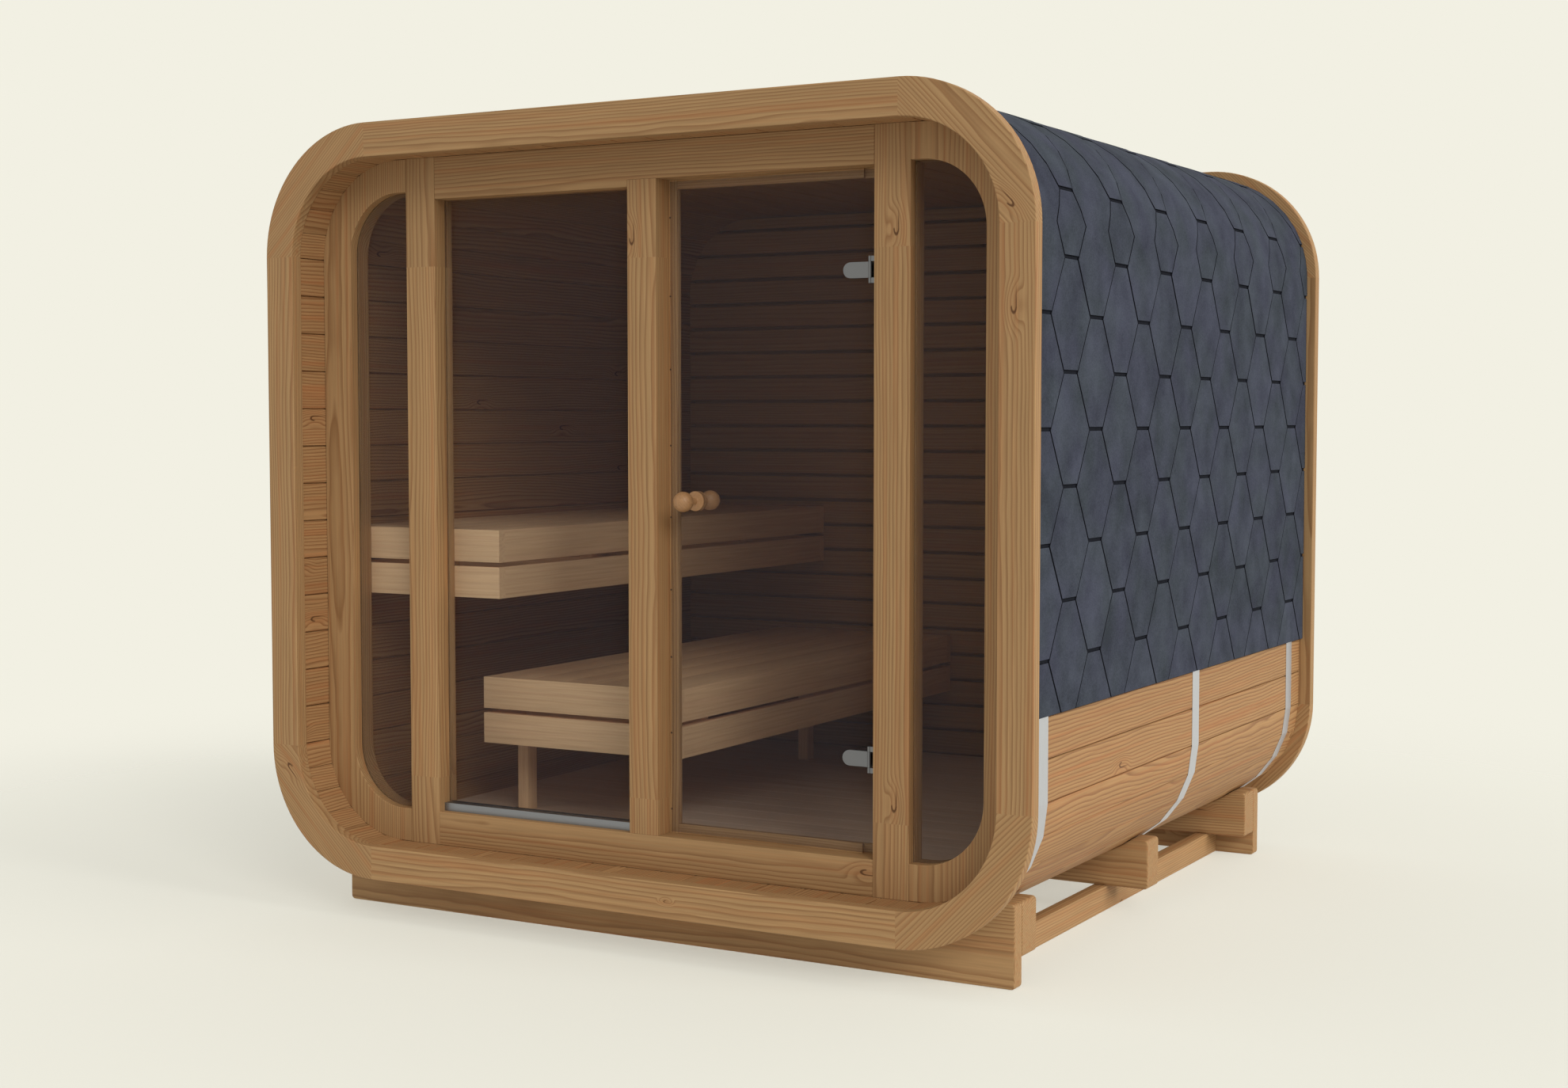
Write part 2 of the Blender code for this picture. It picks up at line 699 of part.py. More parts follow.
def carry(pivot, *pieces):
    """Hangs pieces that were placed in world coordinates on the door's axis."""
    for piece in pieces:
        piece.parent = pivot
        piece.matrix_parent_inverse = Matrix.Translation(pivot.location).inverted()


def make_door(pivot):
    """The frameless door pane, drilled for its knob and its two hinge bolts."""
    right = POST_INNER - DOOR_HINGE_CLEAR
    front = y_at(PANE_FRONT)
    back = y_at(PANE_BACK)
    pane = box(DOOR_LATCH_X, right, front, back, BAY_BOTTOM + DOOR_END_CLEAR, BAY_TOP - DOOR_END_CLEAR)
    door = add_object("door_pane", pane, "tinted_glass")
    bolt_x = AXIS_X - BOLT_INSET
    holes = (
        ("knob_hole_tool", KNOB_X, KNOB_Z, KNOB_SPINDLE),
        ("upper_bolt_hole_tool", bolt_x, HINGE_TOP_Z, BOLT_RADIUS),
        ("lower_bolt_hole_tool", bolt_x, HINGE_BOTTOM_Z, BOLT_RADIUS),
    )
    for name, x, z, radius in holes:
        bore = cylinder(radius + PIN_CLEAR, "Y", front - PANE_THICK, back + PANE_THICK, KNOB_STEPS, (x, z))
        combine(door, hide_tool(add_object(name, bore, None)), "DIFFERENCE")
    carry(pivot, door)


def knob_profile():
    """Half outline of the knob as (distance along its axis, radius), outer end first."""
    points = []
    for side in (-1.0, 1.0):
        glass = 0.0 if side < 0 else PANE_THICK
        centre = glass + side * KNOB_REACH
        face = glass + side * FIT
        rim = face + side * KNOB_COLLAR_THICK
        neck_angle = math.asin(KNOB_NECK / KNOB_BALL)
        half = []
        for index in range(KNOB_BALL_STEPS):
            angle = math.pi - (math.pi - neck_angle) * index / (KNOB_BALL_STEPS - 1)
            along = centre - side * KNOB_BALL * math.cos(angle)
            half.append((along, max(KNOB_BALL * math.sin(angle), 0.0)))
        half += [(rim, KNOB_NECK), (rim, KNOB_COLLAR), (face, KNOB_COLLAR), (face, KNOB_SPINDLE)]
        points += half if side < 0 else list(reversed(half))
    return points


def make_knob(pivot):
    """The turned double knob on one spindle through the pane."""
    mesh = bmesh.new()
    front = y_at(PANE_FRONT)
    verts = [mesh.verts.new((KNOB_X + radius, front + along, KNOB_Z)) for along, radius in knob_profile()]
    edges = [mesh.edges.new((a, b)) for a, b in zip(verts, verts[1:])]
    bmesh.ops.spin(
        mesh,
        geom=verts + edges,
        cent=(KNOB_X, front, KNOB_Z),
        axis=(0.0, 1.0, 0.0),
        angle=math.tau,
        steps=KNOB_STEPS,
    )
    bmesh.ops.remove_doubles(mesh, verts=mesh.verts[:], dist=0.00001)
    knob = shade_round(add_object("door_knob", mesh, "knob_wood"))
    carry(pivot, knob)


def make_hinge(word, height, pivot):
    """One hinge: a leaf with its pin on the post, and a clamp with its knuckle on the pane."""
    axis = (AXIS_X, y_at(PANE_FRONT - AXIS_OFFSET))
    glass = y_at(PANE_FRONT)
    half = CLAMP_HIGH / 2
    end_x = AXIS_X - CLAMP_LONG + half
    plate = [(AXIS_X, height - half), (AXIS_X, height + half)]
    plate += arc((end_x, height), half, 90.0, 270.0, PLATE_STEPS)
    mesh = extruded(plate, "Y", glass - FIT - CLAMP_THICK, glass - FIT)
    clamp = add_object(f"{word}_hinge_clamp", mesh, "hinge_steel")
    rear = y_at(PANE_BACK) + FIT
    bore_radius = PIN_RADIUS + PIN_CLEAR
    tools = (
        ("knuckle", cylinder(KNUCKLE_RADIUS, "Z", height - half, height + half, BAR_STEPS, axis), "UNION"),
        ("bolt", cylinder(BOLT_RADIUS, "Y", glass - CLAMP_THICK, rear + CLAMP_BACK_THICK / 2, PIN_STEPS,
                          (AXIS_X - BOLT_INSET, height)), "UNION"),
        ("back", extruded(plate, "Y", rear, rear + CLAMP_BACK_THICK), "UNION"),
        ("bore", cylinder(bore_radius, "Z", height - CLAMP_HIGH, height + CLAMP_HIGH, PIN_STEPS, axis),
         "DIFFERENCE"),
    )
    for part, shape, operation in tools:
        combine(clamp, hide_tool(add_object(f"{word}_{part}_tool", shape, None)), operation)
    carry(pivot, clamp)

    reach = POST_INNER - FIT
    tall = LEAF_HIGH / 2
    leaf_front = axis[1] - LEAF_WIDE / 2
    leaf = add_object(
        f"{word}_hinge_leaf",
        box(reach - LEAF_THICK, reach, leaf_front, leaf_front + LEAF_WIDE, height - tall, height + tall),
        "hinge_steel",
    )
    start = half + KNUCKLE_CLEAR
    for side, place in ((1.0, "top"), (-1.0, "foot")):
        z0, z1 = sorted((height + side * start, height + side * tall))
        arm = box(AXIS_X, reach - LEAF_THICK / 2, axis[1] - ARM_THICK / 2, axis[1] + ARM_THICK / 2, z0, z1)
        knuckle = cylinder(KNUCKLE_RADIUS, "Z", z0, z1, BAR_STEPS, axis)
        combine(leaf, hide_tool(add_object(f"{word}_{place}_arm_tool", arm, None)), "UNION")
        combine(leaf, hide_tool(add_object(f"{word}_{place}_knuckle_tool", knuckle, None)), "UNION")
    pin = cylinder(PIN_RADIUS, "Z", height - tall + LEAF_THICK, height + tall - LEAF_THICK, PIN_STEPS, axis)
    combine(leaf, hide_tool(add_object(f"{word}_pin_tool", pin, None)), "UNION")


def make_back_wall():
    """The back wall of level boards, grooved on both faces and cut to the staves."""
    low = RAISE + INNER_INSET
    high = TOP - INNER_INSET
    front = y_at(BACK_WALL_FRONT)
    back = y_at(BACK_WALL_BACK)
    count = int((high - low) / BACK_BOARD)
    joints = [FLOOR_TOP + BACK_BOARD * index for index in range(count)]
    joints = [z for z in joints if z < high - BACK_BOARD / 3]
    section = [(front, low - BACK_BOARD)]
    for z in joints:
        section += [(y, at) for at, y in notch(z, front, 1.0)]
    section += [(front, high + BACK_BOARD), (back, high + BACK_BOARD)]
    for z in reversed(joints):
        section += [(y, at) for at, y in reversed(notch(z, back, -1.0))]
    section.append((back, low - BACK_BOARD))
    wall = add_object("back_wall", extruded(section, "X", -HALF_WIDTH, HALF_WIDTH), "stave_pine")
    outline = cabin_outline(INNER_INSET + SEAT_FIT, STAVES_CORNER)
    tool = extruded(outline, "Y", front - BACK_BOARD, back + BACK_BOARD)
    combine(wall, hide_tool(add_object("back_outline_tool", tool, None)), "INTERSECT")


def make_floor():
    """The boarded floor, its ends cut to the round of the staves."""
    start = y_at(WALL_BACK + FIT)
    end = y_at(BACK_WALL_FRONT - FIT)
    pitch = (end - start) / FLOOR_BOARDS
    section = [(start, RAISE), (end, RAISE), (end, FLOOR_TOP)]
    for index in range(FLOOR_BOARDS - 1, 0, -1):
        section += reversed(notch(start + pitch * index, FLOOR_TOP, -1.0))
    section.append((start, FLOOR_TOP))
    floor = add_object("floor_boards", extruded(section, "X", -HALF_WIDTH, HALF_WIDTH), "bench_wood")
    outline = cabin_outline(INNER_INSET + SEAT_FIT, STAVES_CORNER)
    tool = extruded(outline, "Y", start - BACK_BOARD, end + BACK_BOARD)
    combine(floor, hide_tool(add_object("floor_outline_tool", tool, None)), "INTERSECT")


def make_bench(word, x0, x1, y0, y1, rise, bearers):
    """One bench: a seat tray over a ladder frame, with a shadow gap between their edge boards."""
    top = FLOOR_TOP + rise
    bottom = top - BENCH_HIGH
    lower_top = bottom + BENCH_LOWER_BOARD
    seat_bottom = lower_top + BENCH_GAP
    seat = add_object(f"{word}_bench_seat", box(x0, x1, y0, y1, seat_bottom, top), "bench_wood")
    hollow_box = box(
        x0 + BENCH_BOARD, x1 - BENCH_BOARD, y0 + BENCH_BOARD, y1 - BENCH_BOARD,
        seat_bottom - BENCH_BOARD, top - BENCH_BOARD,
    )
    combine(seat, hide_tool(add_object(f"{word}_seat_hollow_tool", hollow_box, None)), "DIFFERENCE")
    frame = add_object(f"{word}_bench_frame", box(x0, x1, y0, y1, bottom, lower_top), "bench_wood")
    starts = [y0 + BENCH_BOARD] + [near + BEARER_WIDE for near in bearers]
    for index, (near, far) in enumerate(zip(starts, bearers + [y1 - BENCH_BOARD])):
        hole = box(
            x0 + BENCH_BOARD, x1 - BENCH_BOARD, near, far, bottom - BENCH_BOARD, lower_top + BENCH_BOARD
        )
        combine(frame, hide_tool(add_object(f"{word}_bay_{index}_tool", hole, None)), "DIFFERENCE")
    for index, near in enumerate(bearers):
        for side, x in (("wall", x0 + BENCH_BOARD + FIT), ("room", x1 - BENCH_BOARD - FIT - UPRIGHT)):
            block = box(
                x, x + UPRIGHT, near + FIT, near + BEARER_WIDE - FIT,
                bottom + BENCH_BOARD, top - BENCH_BOARD - FIT,
            )
            name = f"{word}_{side}_upright_{index}_tool"
            combine(frame, hide_tool(add_object(name, block, None)), "UNION")


def make_benches():
    """The upper bench between the two walls, and the lower bench with its two legs."""
    wall_x = -HALF_WIDTH + INNER_INSET + FIT
    start = y_at(WALL_BACK + FIT)
    end = y_at(BACK_WALL_FRONT - FIT)
    near_in, far_in = UPPER_BEARER_IN
    bearers = [start + near_in, end - far_in]
    make_bench("upper", wall_x, wall_x + UPPER_BENCH_WIDE, start, end, UPPER_BENCH_RISE, bearers)
    back = wall_x + LOWER_BENCH_OFF_WALL
    lower_start = start + LOWER_BENCH_SHORT
    near_in, far_in = LOWER_BEARER_IN
    bearers = [lower_start + near_in, end - far_in]
    make_bench("lower", back, back + LOWER_BENCH_WIDE, lower_start, end, LOWER_BENCH_RISE, bearers)
    past = (LEG_DEEP - BEARER_WIDE) / 2
    leg_top = FLOOR_TOP + LOWER_BENCH_RISE - BENCH_HIGH - FIT
    legs = (("near_bench_leg", back, bearers[0]), ("far_bench_leg", back + FAR_LEG_IN, bearers[1]))
    for name, x, bearer in legs:
        leg = box(x, x + LEG_WIDE, bearer - past, bearer - past + LEG_DEEP, FLOOR_TOP + FIT, leg_top)
        add_object(name, leg, "bench_wood")


def main():
    """Builds the whole cabin."""
    clear_scene()
    make_base()
    make_staves()
    make_rings()
    make_straps()
    make_shingles()
    make_posts()
    make_cross_rails()
    make_side_windows()
    make_fixed_pane()
    make_back_wall()
    make_floor()
    make_benches()
    pivot = door_parent()
    make_door(pivot)
    make_knob(pivot)
    make_hinge("upper", HINGE_TOP_Z, pivot)
    make_hinge("lower", HINGE_BOTTOM_Z, pivot)


main()
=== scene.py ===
"""The outdoor sauna cabin as it looks: boards, shingles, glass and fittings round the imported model.

Every timber is a board with its own grain, the roof is laid with hexagonal felt shingles, and
the glass is tinted bronze. Metres throughout: X right seen from the front, Y into the cabin, Z up.
"""

import logging
import math
from dataclasses import dataclass, field
from enum import Enum
from typing import Callable, Sequence

import bpy
import numpy as np
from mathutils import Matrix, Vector


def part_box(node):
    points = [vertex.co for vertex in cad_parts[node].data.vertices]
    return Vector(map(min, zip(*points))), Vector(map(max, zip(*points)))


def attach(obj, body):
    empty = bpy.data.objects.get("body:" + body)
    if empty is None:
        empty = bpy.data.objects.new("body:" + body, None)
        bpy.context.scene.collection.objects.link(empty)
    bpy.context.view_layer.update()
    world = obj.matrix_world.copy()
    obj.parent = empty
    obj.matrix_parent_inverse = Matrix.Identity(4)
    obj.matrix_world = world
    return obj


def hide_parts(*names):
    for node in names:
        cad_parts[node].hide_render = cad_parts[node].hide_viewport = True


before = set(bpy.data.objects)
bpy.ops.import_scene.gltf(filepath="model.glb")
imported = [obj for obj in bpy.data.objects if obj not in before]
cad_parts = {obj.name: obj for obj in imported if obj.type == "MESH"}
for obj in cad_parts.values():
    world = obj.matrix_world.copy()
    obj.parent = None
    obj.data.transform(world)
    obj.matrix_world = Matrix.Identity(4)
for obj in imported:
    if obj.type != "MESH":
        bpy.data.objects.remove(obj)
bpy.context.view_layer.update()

LOG = logging.getLogger("sauna")

Array = np.ndarray
Shape = Callable[[float], Array]
Material = bpy.types.Material
Tree = bpy.types.NodeTree
Node = bpy.types.Node
Source = bpy.types.Node | bpy.types.NodeSocket

MM = 0.001
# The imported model's clearances: where timbers meet, and where they seat on the barrel.
FIT = 0.3 * MM
SEAT_FIT = 0.8 * MM
# How far the door's stops stand behind the glass.
STOP_GAP = 5 * MM

RIGHT = (1, 0, 0)
INWARD = (0, 1, 0)
FORWARD = (0, -1, 0)
UP = (0, 0, 1)

# Middles of the knots read off the photograph; a board takes the one inside it.
KNOTS = np.array([
    (0.730, -1.009, 1.828), (-0.030, -1.009, 1.834), (0.728, -1.009, 0.429), (0.652, -1.009, 0.257),
    (1.096, -1.145, 1.626), (1.083, -1.145, 1.864), (1.098, -1.145, 0.612), (-1.084, -1.145, 0.399),
    (0.154, -1.145, 0.156), (0.485, -1.145, 0.135), (-0.526, -1.145, 0.136), (0.274, -1.111, 0.068),
    (-1.064, -1.055, 1.373), (-1.064, -1.063, 0.810), (1.112, -0.474, 0.486), (1.112, 0.536, 0.483),
])
# A knot lower than PIN_KNOT_BELOW is a pin knot, drawn at PIN_KNOT of the usual size. A board
# without a knot of its own has it FAR away.
PIN_KNOT = 0.4
PIN_KNOT_BELOW = 0.2
FAR = 9.0
# How far outside a board's box its knot may lie.
KNOT_PAST = 3 * MM


class Plane(Enum):
    """Plane that an outline lies in; it is carried along the third axis."""

    XZ = (0, 2, 1)
    XY = (0, 1, 2)
    YZ = (1, 2, 0)


class Body(Enum):
    """Bodies that pieces ride on."""

    CABIN = "cabin"
    DOOR = "door"


class Bench(Enum):
    """Benches, each with its bearers' distances from the front and the back end of its frame."""

    UPPER = (0.488, 0.528)
    LOWER = (0.163, 0.338)


def linear(code: str) -> tuple[float, float, float, float]:
    """Turns an sRGB hex colour into linear light.

    Args:
        code: Colour such as "#A67D56".

    Returns:
        Red, green, blue and a full alpha, linear.
    """
    value = np.array([int(code[i:i + 2], 16) for i in (1, 3, 5)]) / 255.0
    light = np.where(value <= 0.04045, value / 12.92, ((value + 0.055) / 1.055) ** 2.4)
    return (*light.tolist(), 1.0)


def span(node: str) -> tuple[Array, Array]:
    """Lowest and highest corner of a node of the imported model, as arrays."""
    low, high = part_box(node)
    return np.array(low), np.array(high)


def neighbours(places: Sequence[float]) -> list[tuple[float, float]]:
    """Each place with the next one."""
    return list(zip(places[:-1], places[1:]))


def feed(node: Node, inputs: dict[str | int, object]) -> None:
    """Gives a node's sockets their values, or links them.

    Args:
        node: Node that takes them.
        inputs: Socket name or number to a value, to another node's output, or to another node,
            which stands for its first output.
    """
    for key, value in inputs.items():
        if isinstance(value, bpy.types.Node):
            value = value.outputs[0]
        if isinstance(value, bpy.types.NodeSocket):
            node.id_data.links.new(value, node.inputs[key])
        else:
            node.inputs[key].default_value = value


def add(tree: Tree, kind: str, inputs: dict[str | int, object] | None = None,
        stops: Sequence[tuple[float, float]] = (), **settings: object) -> Node:
    """Adds a node with its settings, its values and its links.

    Args:
        tree: Node tree that takes the node.
        kind: Node type without the "ShaderNode" in front.
        inputs: Values and links, as feed takes them.
        stops: Places from 0 to 1 with a grey level each, for a colour ramp.
        **settings: Attributes of the node itself.

    Returns:
        The node.
    """
    made = tree.nodes.new("ShaderNode" + kind)
    for name, value in settings.items():
        setattr(made, name, value)
    feed(made, inputs or {})
    for number, (place, level) in enumerate(stops):
        element = made.color_ramp.elements[number] if number < 2 else made.color_ramp.elements.new(place)
        element.position = place
        element.color = (level, level, level, 1.0)
    return made


def new_material(name: str) -> tuple[Material, Tree, Node]:
    """Starts a material with a Principled shader.

    Args:
        name: Name of the finish.

    Returns:
        The material, its node tree and its Principled node.
    """
    made = bpy.data.materials.new(name)
    made.use_nodes = True
    return made, made.node_tree, made.node_tree.nodes["Principled BSDF"]


@dataclass(frozen=True)
class PlanedPine:
    """Softwood, planed and oiled: the eye sees growth rings as streaks and slim arches, with a few knots.

    The rings are drawn in the log: each board carries its own place in it, so a flat-sawn face
    shows arches, and an edge shows straight lines that run on round the corner.

    Attributes:
        name: Name of the material.
        early: Colour of the wood that grows in spring.
        late: Colour of the darker rings.
        warm: Colour of the redder streaks.
        knot: Colour of a knot.
        ring_pitch: Width of one year's growth.
        contrast: Share of the late wood's colour in the rings, 0 to 1.
        bend: How far the log wanders from straight.
        knots: Share of the cells that hold a scattered knot.
        bulge: How far a knot pushes the rings aside.
        roughness: Middle of the roughness.
        specular: Specular level, low on oiled wood.
    """

    name: str = "planed_pine"
    early: str = "#AF8B5F"
    late: str = "#825A36"
    warm: str = "#A56F44"
    knot: str = "#55351D"
    ring_pitch: float = 6.5 * MM
    contrast: float = 0.72
    bend: float = 0.045
    knots: float = 0.10
    bulge: float = 0.014
    roughness: float = 0.60
    specular: float = 0.2

    def make(self) -> Material:
        """Builds the material.

        Returns:
            The material, which reads the point attributes grain, knot and tone.
        """
        made, tree, shader = new_material(self.name)
        place = add(tree, "Attribute", attribute_name="grain").outputs["Vector"]
        tone = add(tree, "Attribute", attribute_name="tone").outputs["Fac"]
        near, mark = self.knot_shape(tree, *self.knot_way(tree, place))
        rings = self.rings(tree, self.wander(tree, place), near)
        fibre = self.fibre(tree, place)
        height = add(tree, "Math", {0: rings, 1: fibre}, operation="ADD")
        dull, shiny = self.roughness + 0.06, self.roughness - 0.05
        feed(shader, {
            "Base Color": self.colour(tree, place, tone, rings, fibre, near, mark),
            "Roughness": add(tree, "MapRange", {0: rings, 3: dull, 4: shiny}),
            "Specular IOR Level": self.specular,
            "Normal": add(tree, "Bump", {"Height": height, "Strength": 0.2, "Distance": 0.4 * MM}),
        })
        return made

    def wander(self, tree: Tree, place: Source) -> Source:
        """Bends the log: slow noise over a metre of its length, and waves of 4 mm every 150 mm.

        Args:
            tree: Node tree that takes the nodes.
            place: The board's place in its log.

        Returns:
            The bent place.
        """
        bent = place
        slow, waves = ((0.75, 3.0, 3.0), self.bend, 1.5), ((6.5, 20.0, 20.0), 0.09 * self.bend, 1.0)
        for scale, reach, detail in (slow, waves):
            drawn = add(tree, "VectorMath", {0: place, 1: scale}, operation="MULTIPLY")
            noise = add(tree, "TexNoise", {"Vector": drawn, "Scale": 1.0, "Detail": detail}).outputs["Color"]
            sway = add(tree, "VectorMath", {0: noise, 1: (0.5, 0.5, 0.5)}, operation="SUBTRACT")
            bent = add(tree, "VectorMath", {0: sway, 1: (0.0, reach, reach), 2: bent},
                       operation="MULTIPLY_ADD")
        return bent

    def knot_way(self, tree: Tree, place: Source) -> tuple[Source, Node]:
        """Way from the knot that a point belongs to, and whether there is one.

        Knots are scattered over the face, one at most in each cell of 550 by 130 mm. Where the
        point attribute knot is within 120 mm of zero it gives the way from a knot of the
        board's own, which comes first.

        Args:
            tree: Node tree that takes the nodes.
            place: The board's place in its log.

        Returns:
            The way in metres, shortened along the grain because a knot is longer that way, and
            1 where there is a knot or 0.
        """
        long, wide, shorten, reach = 0.55, 0.13, 0.45, 0.12
        spread = add(tree, "VectorMath", {0: place, 1: (1 / long, 1 / wide, 0.0)}, operation="MULTIPLY")
        scatter = add(tree, "TexVoronoi", {"Vector": spread, "Scale": 1.0}, voronoi_dimensions="2D")
        apart = add(tree, "VectorMath", {0: spread, 1: scatter.outputs["Position"]}, operation="SUBTRACT")
        drawn = add(tree, "VectorMath", {0: apart, 1: (long * shorten, wide, 0.0)}, operation="MULTIPLY")
        given = add(tree, "Attribute", attribute_name="knot").outputs["Vector"]
        given = add(tree, "VectorMath", {0: given, 1: (shorten, 1.0, 0.0)}, operation="MULTIPLY")
        away = add(tree, "VectorMath", {0: given}, operation="LENGTH").outputs["Value"]
        own = add(tree, "Math", {0: away, 1: reach}, operation="LESS_THAN")
        way = add(tree, "Mix", {0: own, 4: drawn, 5: given}, data_type="VECTOR").outputs[1]
        draw = add(tree, "SeparateColor", {0: scatter.outputs["Color"]})
        lucky = add(tree, "Math", {0: draw, 1: self.knots}, operation="LESS_THAN")
        return way, add(tree, "Math", {0: lucky, 1: own}, operation="MAXIMUM")

    def knot_shape(self, tree: Tree, way: Source, chosen: Node) -> tuple[Node, Node]:
        """Draws small hooked knots.

        A knot is half a ring of 6 mm radius, with a stem that runs on from one end of it along
        the grain for 50 mm, as a branch cut at a slant shows.

        Args:
            tree: Node tree that takes the nodes.
            way: Way from the knot.
            chosen: 1 where there is a knot.

        Returns:
            A bell of 1 at each knot that falls to 0 about 40 mm from it, and the knot's own mark.
        """
        radius, middle = 6 * MM, -0.5 * MM
        away = add(tree, "VectorMath", {0: way}, operation="LENGTH").outputs["Value"]
        axes = add(tree, "SeparateXYZ", {0: way})
        ring = add(tree, "Math", {0: away, 1: radius}, operation="SUBTRACT")
        ring = add(tree, "Math", {0: ring}, operation="ABSOLUTE")
        ring = add(tree, "MapRange", {0: ring, 1: 0.9 * MM, 2: 2.6 * MM, 3: 1.0, 4: 0.0})
        half = add(tree, "MapRange", {0: axes, 1: middle, 2: 1.5 * MM, 3: 1.0, 4: 0.0})
        hook = add(tree, "Math", {0: ring, 1: half}, operation="MULTIPLY")
        line = add(tree, "Math", {0: axes.outputs[1], 1: radius}, operation="ADD")
        line = add(tree, "Math", {0: line}, operation="ABSOLUTE")
        slim = add(tree, "MapRange", {0: line, 1: 0.8 * MM, 2: 2.4 * MM, 3: 1.0, 4: 0.0})
        past = add(tree, "Math", {0: axes, 1: middle}, operation="GREATER_THAN")
        fade = add(tree, "MapRange", {0: axes, 1: 6 * MM, 2: 24 * MM, 3: 0.9, 4: 0.0})
        stem = add(tree, "Math", {0: slim, 1: past}, operation="MULTIPLY")
        stem = add(tree, "Math", {0: stem, 1: fade}, operation="MULTIPLY")
        mark = add(tree, "Math", {0: hook, 1: stem}, operation="MAXIMUM")
        bell = add(tree, "MapRange", {0: away, 1: 5 * MM, 2: 40 * MM, 3: 1.0, 4: 0.0},
                   interpolation_type="SMOOTHERSTEP")
        near, mark = (add(tree, "Math", {0: part, 1: chosen}, operation="MULTIPLY") for part in (bell, mark))
        return near, mark

    def rings(self, tree: Tree, bent: Source, near: Node) -> Node:
        """Late wood of each year as a level from 0 to 1.

        The radius in the log, pushed outward round a knot, is divided by the ring pitch; its
        fraction climbs slowly and drops at once, as the year's growth does.

        Args:
            tree: Node tree that takes the nodes.
            bent: Place in the log with its bends.
            near: Bell round each knot.

        Returns:
            The level.
        """
        across = add(tree, "VectorMath", {0: bent, 1: (0.0, 1.0, 1.0)}, operation="MULTIPLY")
        radius = add(tree, "VectorMath", {0: across}, operation="LENGTH").outputs["Value"]
        pushed = add(tree, "Math", {0: near, 1: self.bulge, 2: radius}, operation="MULTIPLY_ADD")
        years = add(tree, "Math", {0: pushed, 1: self.ring_pitch}, operation="DIVIDE")
        part = add(tree, "Math", {0: years}, operation="FRACT")
        stops = ((0.0, 0.05), (0.45, 0.2), (0.8, 0.85), (0.88, 1.0), (1.0, 0.05))
        return add(tree, "ValToRGB", {0: part}, stops=stops)

    def fibre(self, tree: Tree, place: Source) -> Node:
        """Fibres along the grain; real ones are finer than a pixel, so these are drawn 5 mm wide."""
        fine = add(tree, "VectorMath", {0: place, 1: (5.0, 190.0, 190.0)}, operation="MULTIPLY")
        return add(tree, "TexNoise", {"Vector": fine, "Scale": 1.0, "Detail": 3.0})

    def colour(self, tree: Tree, place: Source, tone: Source, rings: Node, fibre: Node, near: Node,
               mark: Node) -> Source:
        """Colour of the face: early and late wood, warm streaks, the board's own tone, fibres and knots.

        Args:
            tree: Node tree that takes the nodes.
            place: Place in the log.
            tone: The board's own number from 0 to 1.
            rings: Late wood level.
            fibre: Fibre level.
            near: Bell round each knot.
            mark: Mark of each knot.

        Returns:
            The colour.
        """
        share = add(tree, "Math", {0: rings, 1: self.contrast}, operation="MULTIPLY")
        early, late, warm, knot = (linear(code) for code in (self.early, self.late, self.warm, self.knot))
        wood = add(tree, "Mix", {0: share, 6: early, 7: late}, data_type="RGBA").outputs[2]
        drift = add(tree, "VectorMath", {0: place, 1: (0.9, 62.0, 62.0)}, operation="MULTIPLY")
        cloud = add(tree, "TexNoise", {"Vector": drift, "Scale": 1.0, "Detail": 2.0})
        streak = add(tree, "MapRange", {0: cloud, 1: 0.5, 2: 0.72, 3: 0.0, 4: 0.5})
        halo = add(tree, "Math", {0: near, 1: 0.15, 2: streak}, operation="MULTIPLY_ADD")
        wood = add(tree, "Mix", {0: halo, 6: wood, 7: warm}, data_type="RGBA").outputs[2]
        grain = add(tree, "MapRange", {0: fibre, 1: 0.3, 2: 0.7, 3: 0.9, 4: 1.09})
        level = add(tree, "MapRange", {0: tone, 3: 0.95, 4: 1.04})
        light = add(tree, "Math", {0: grain, 1: level}, operation="MULTIPLY")
        wood = add(tree, "VectorMath", {0: wood, "Scale": light}, operation="SCALE")
        dark = add(tree, "Math", {0: mark, 1: 0.9}, operation="MULTIPLY")
        return add(tree, "Mix", {0: dark, 6: wood, 7: knot}, data_type="RGBA").outputs[2]


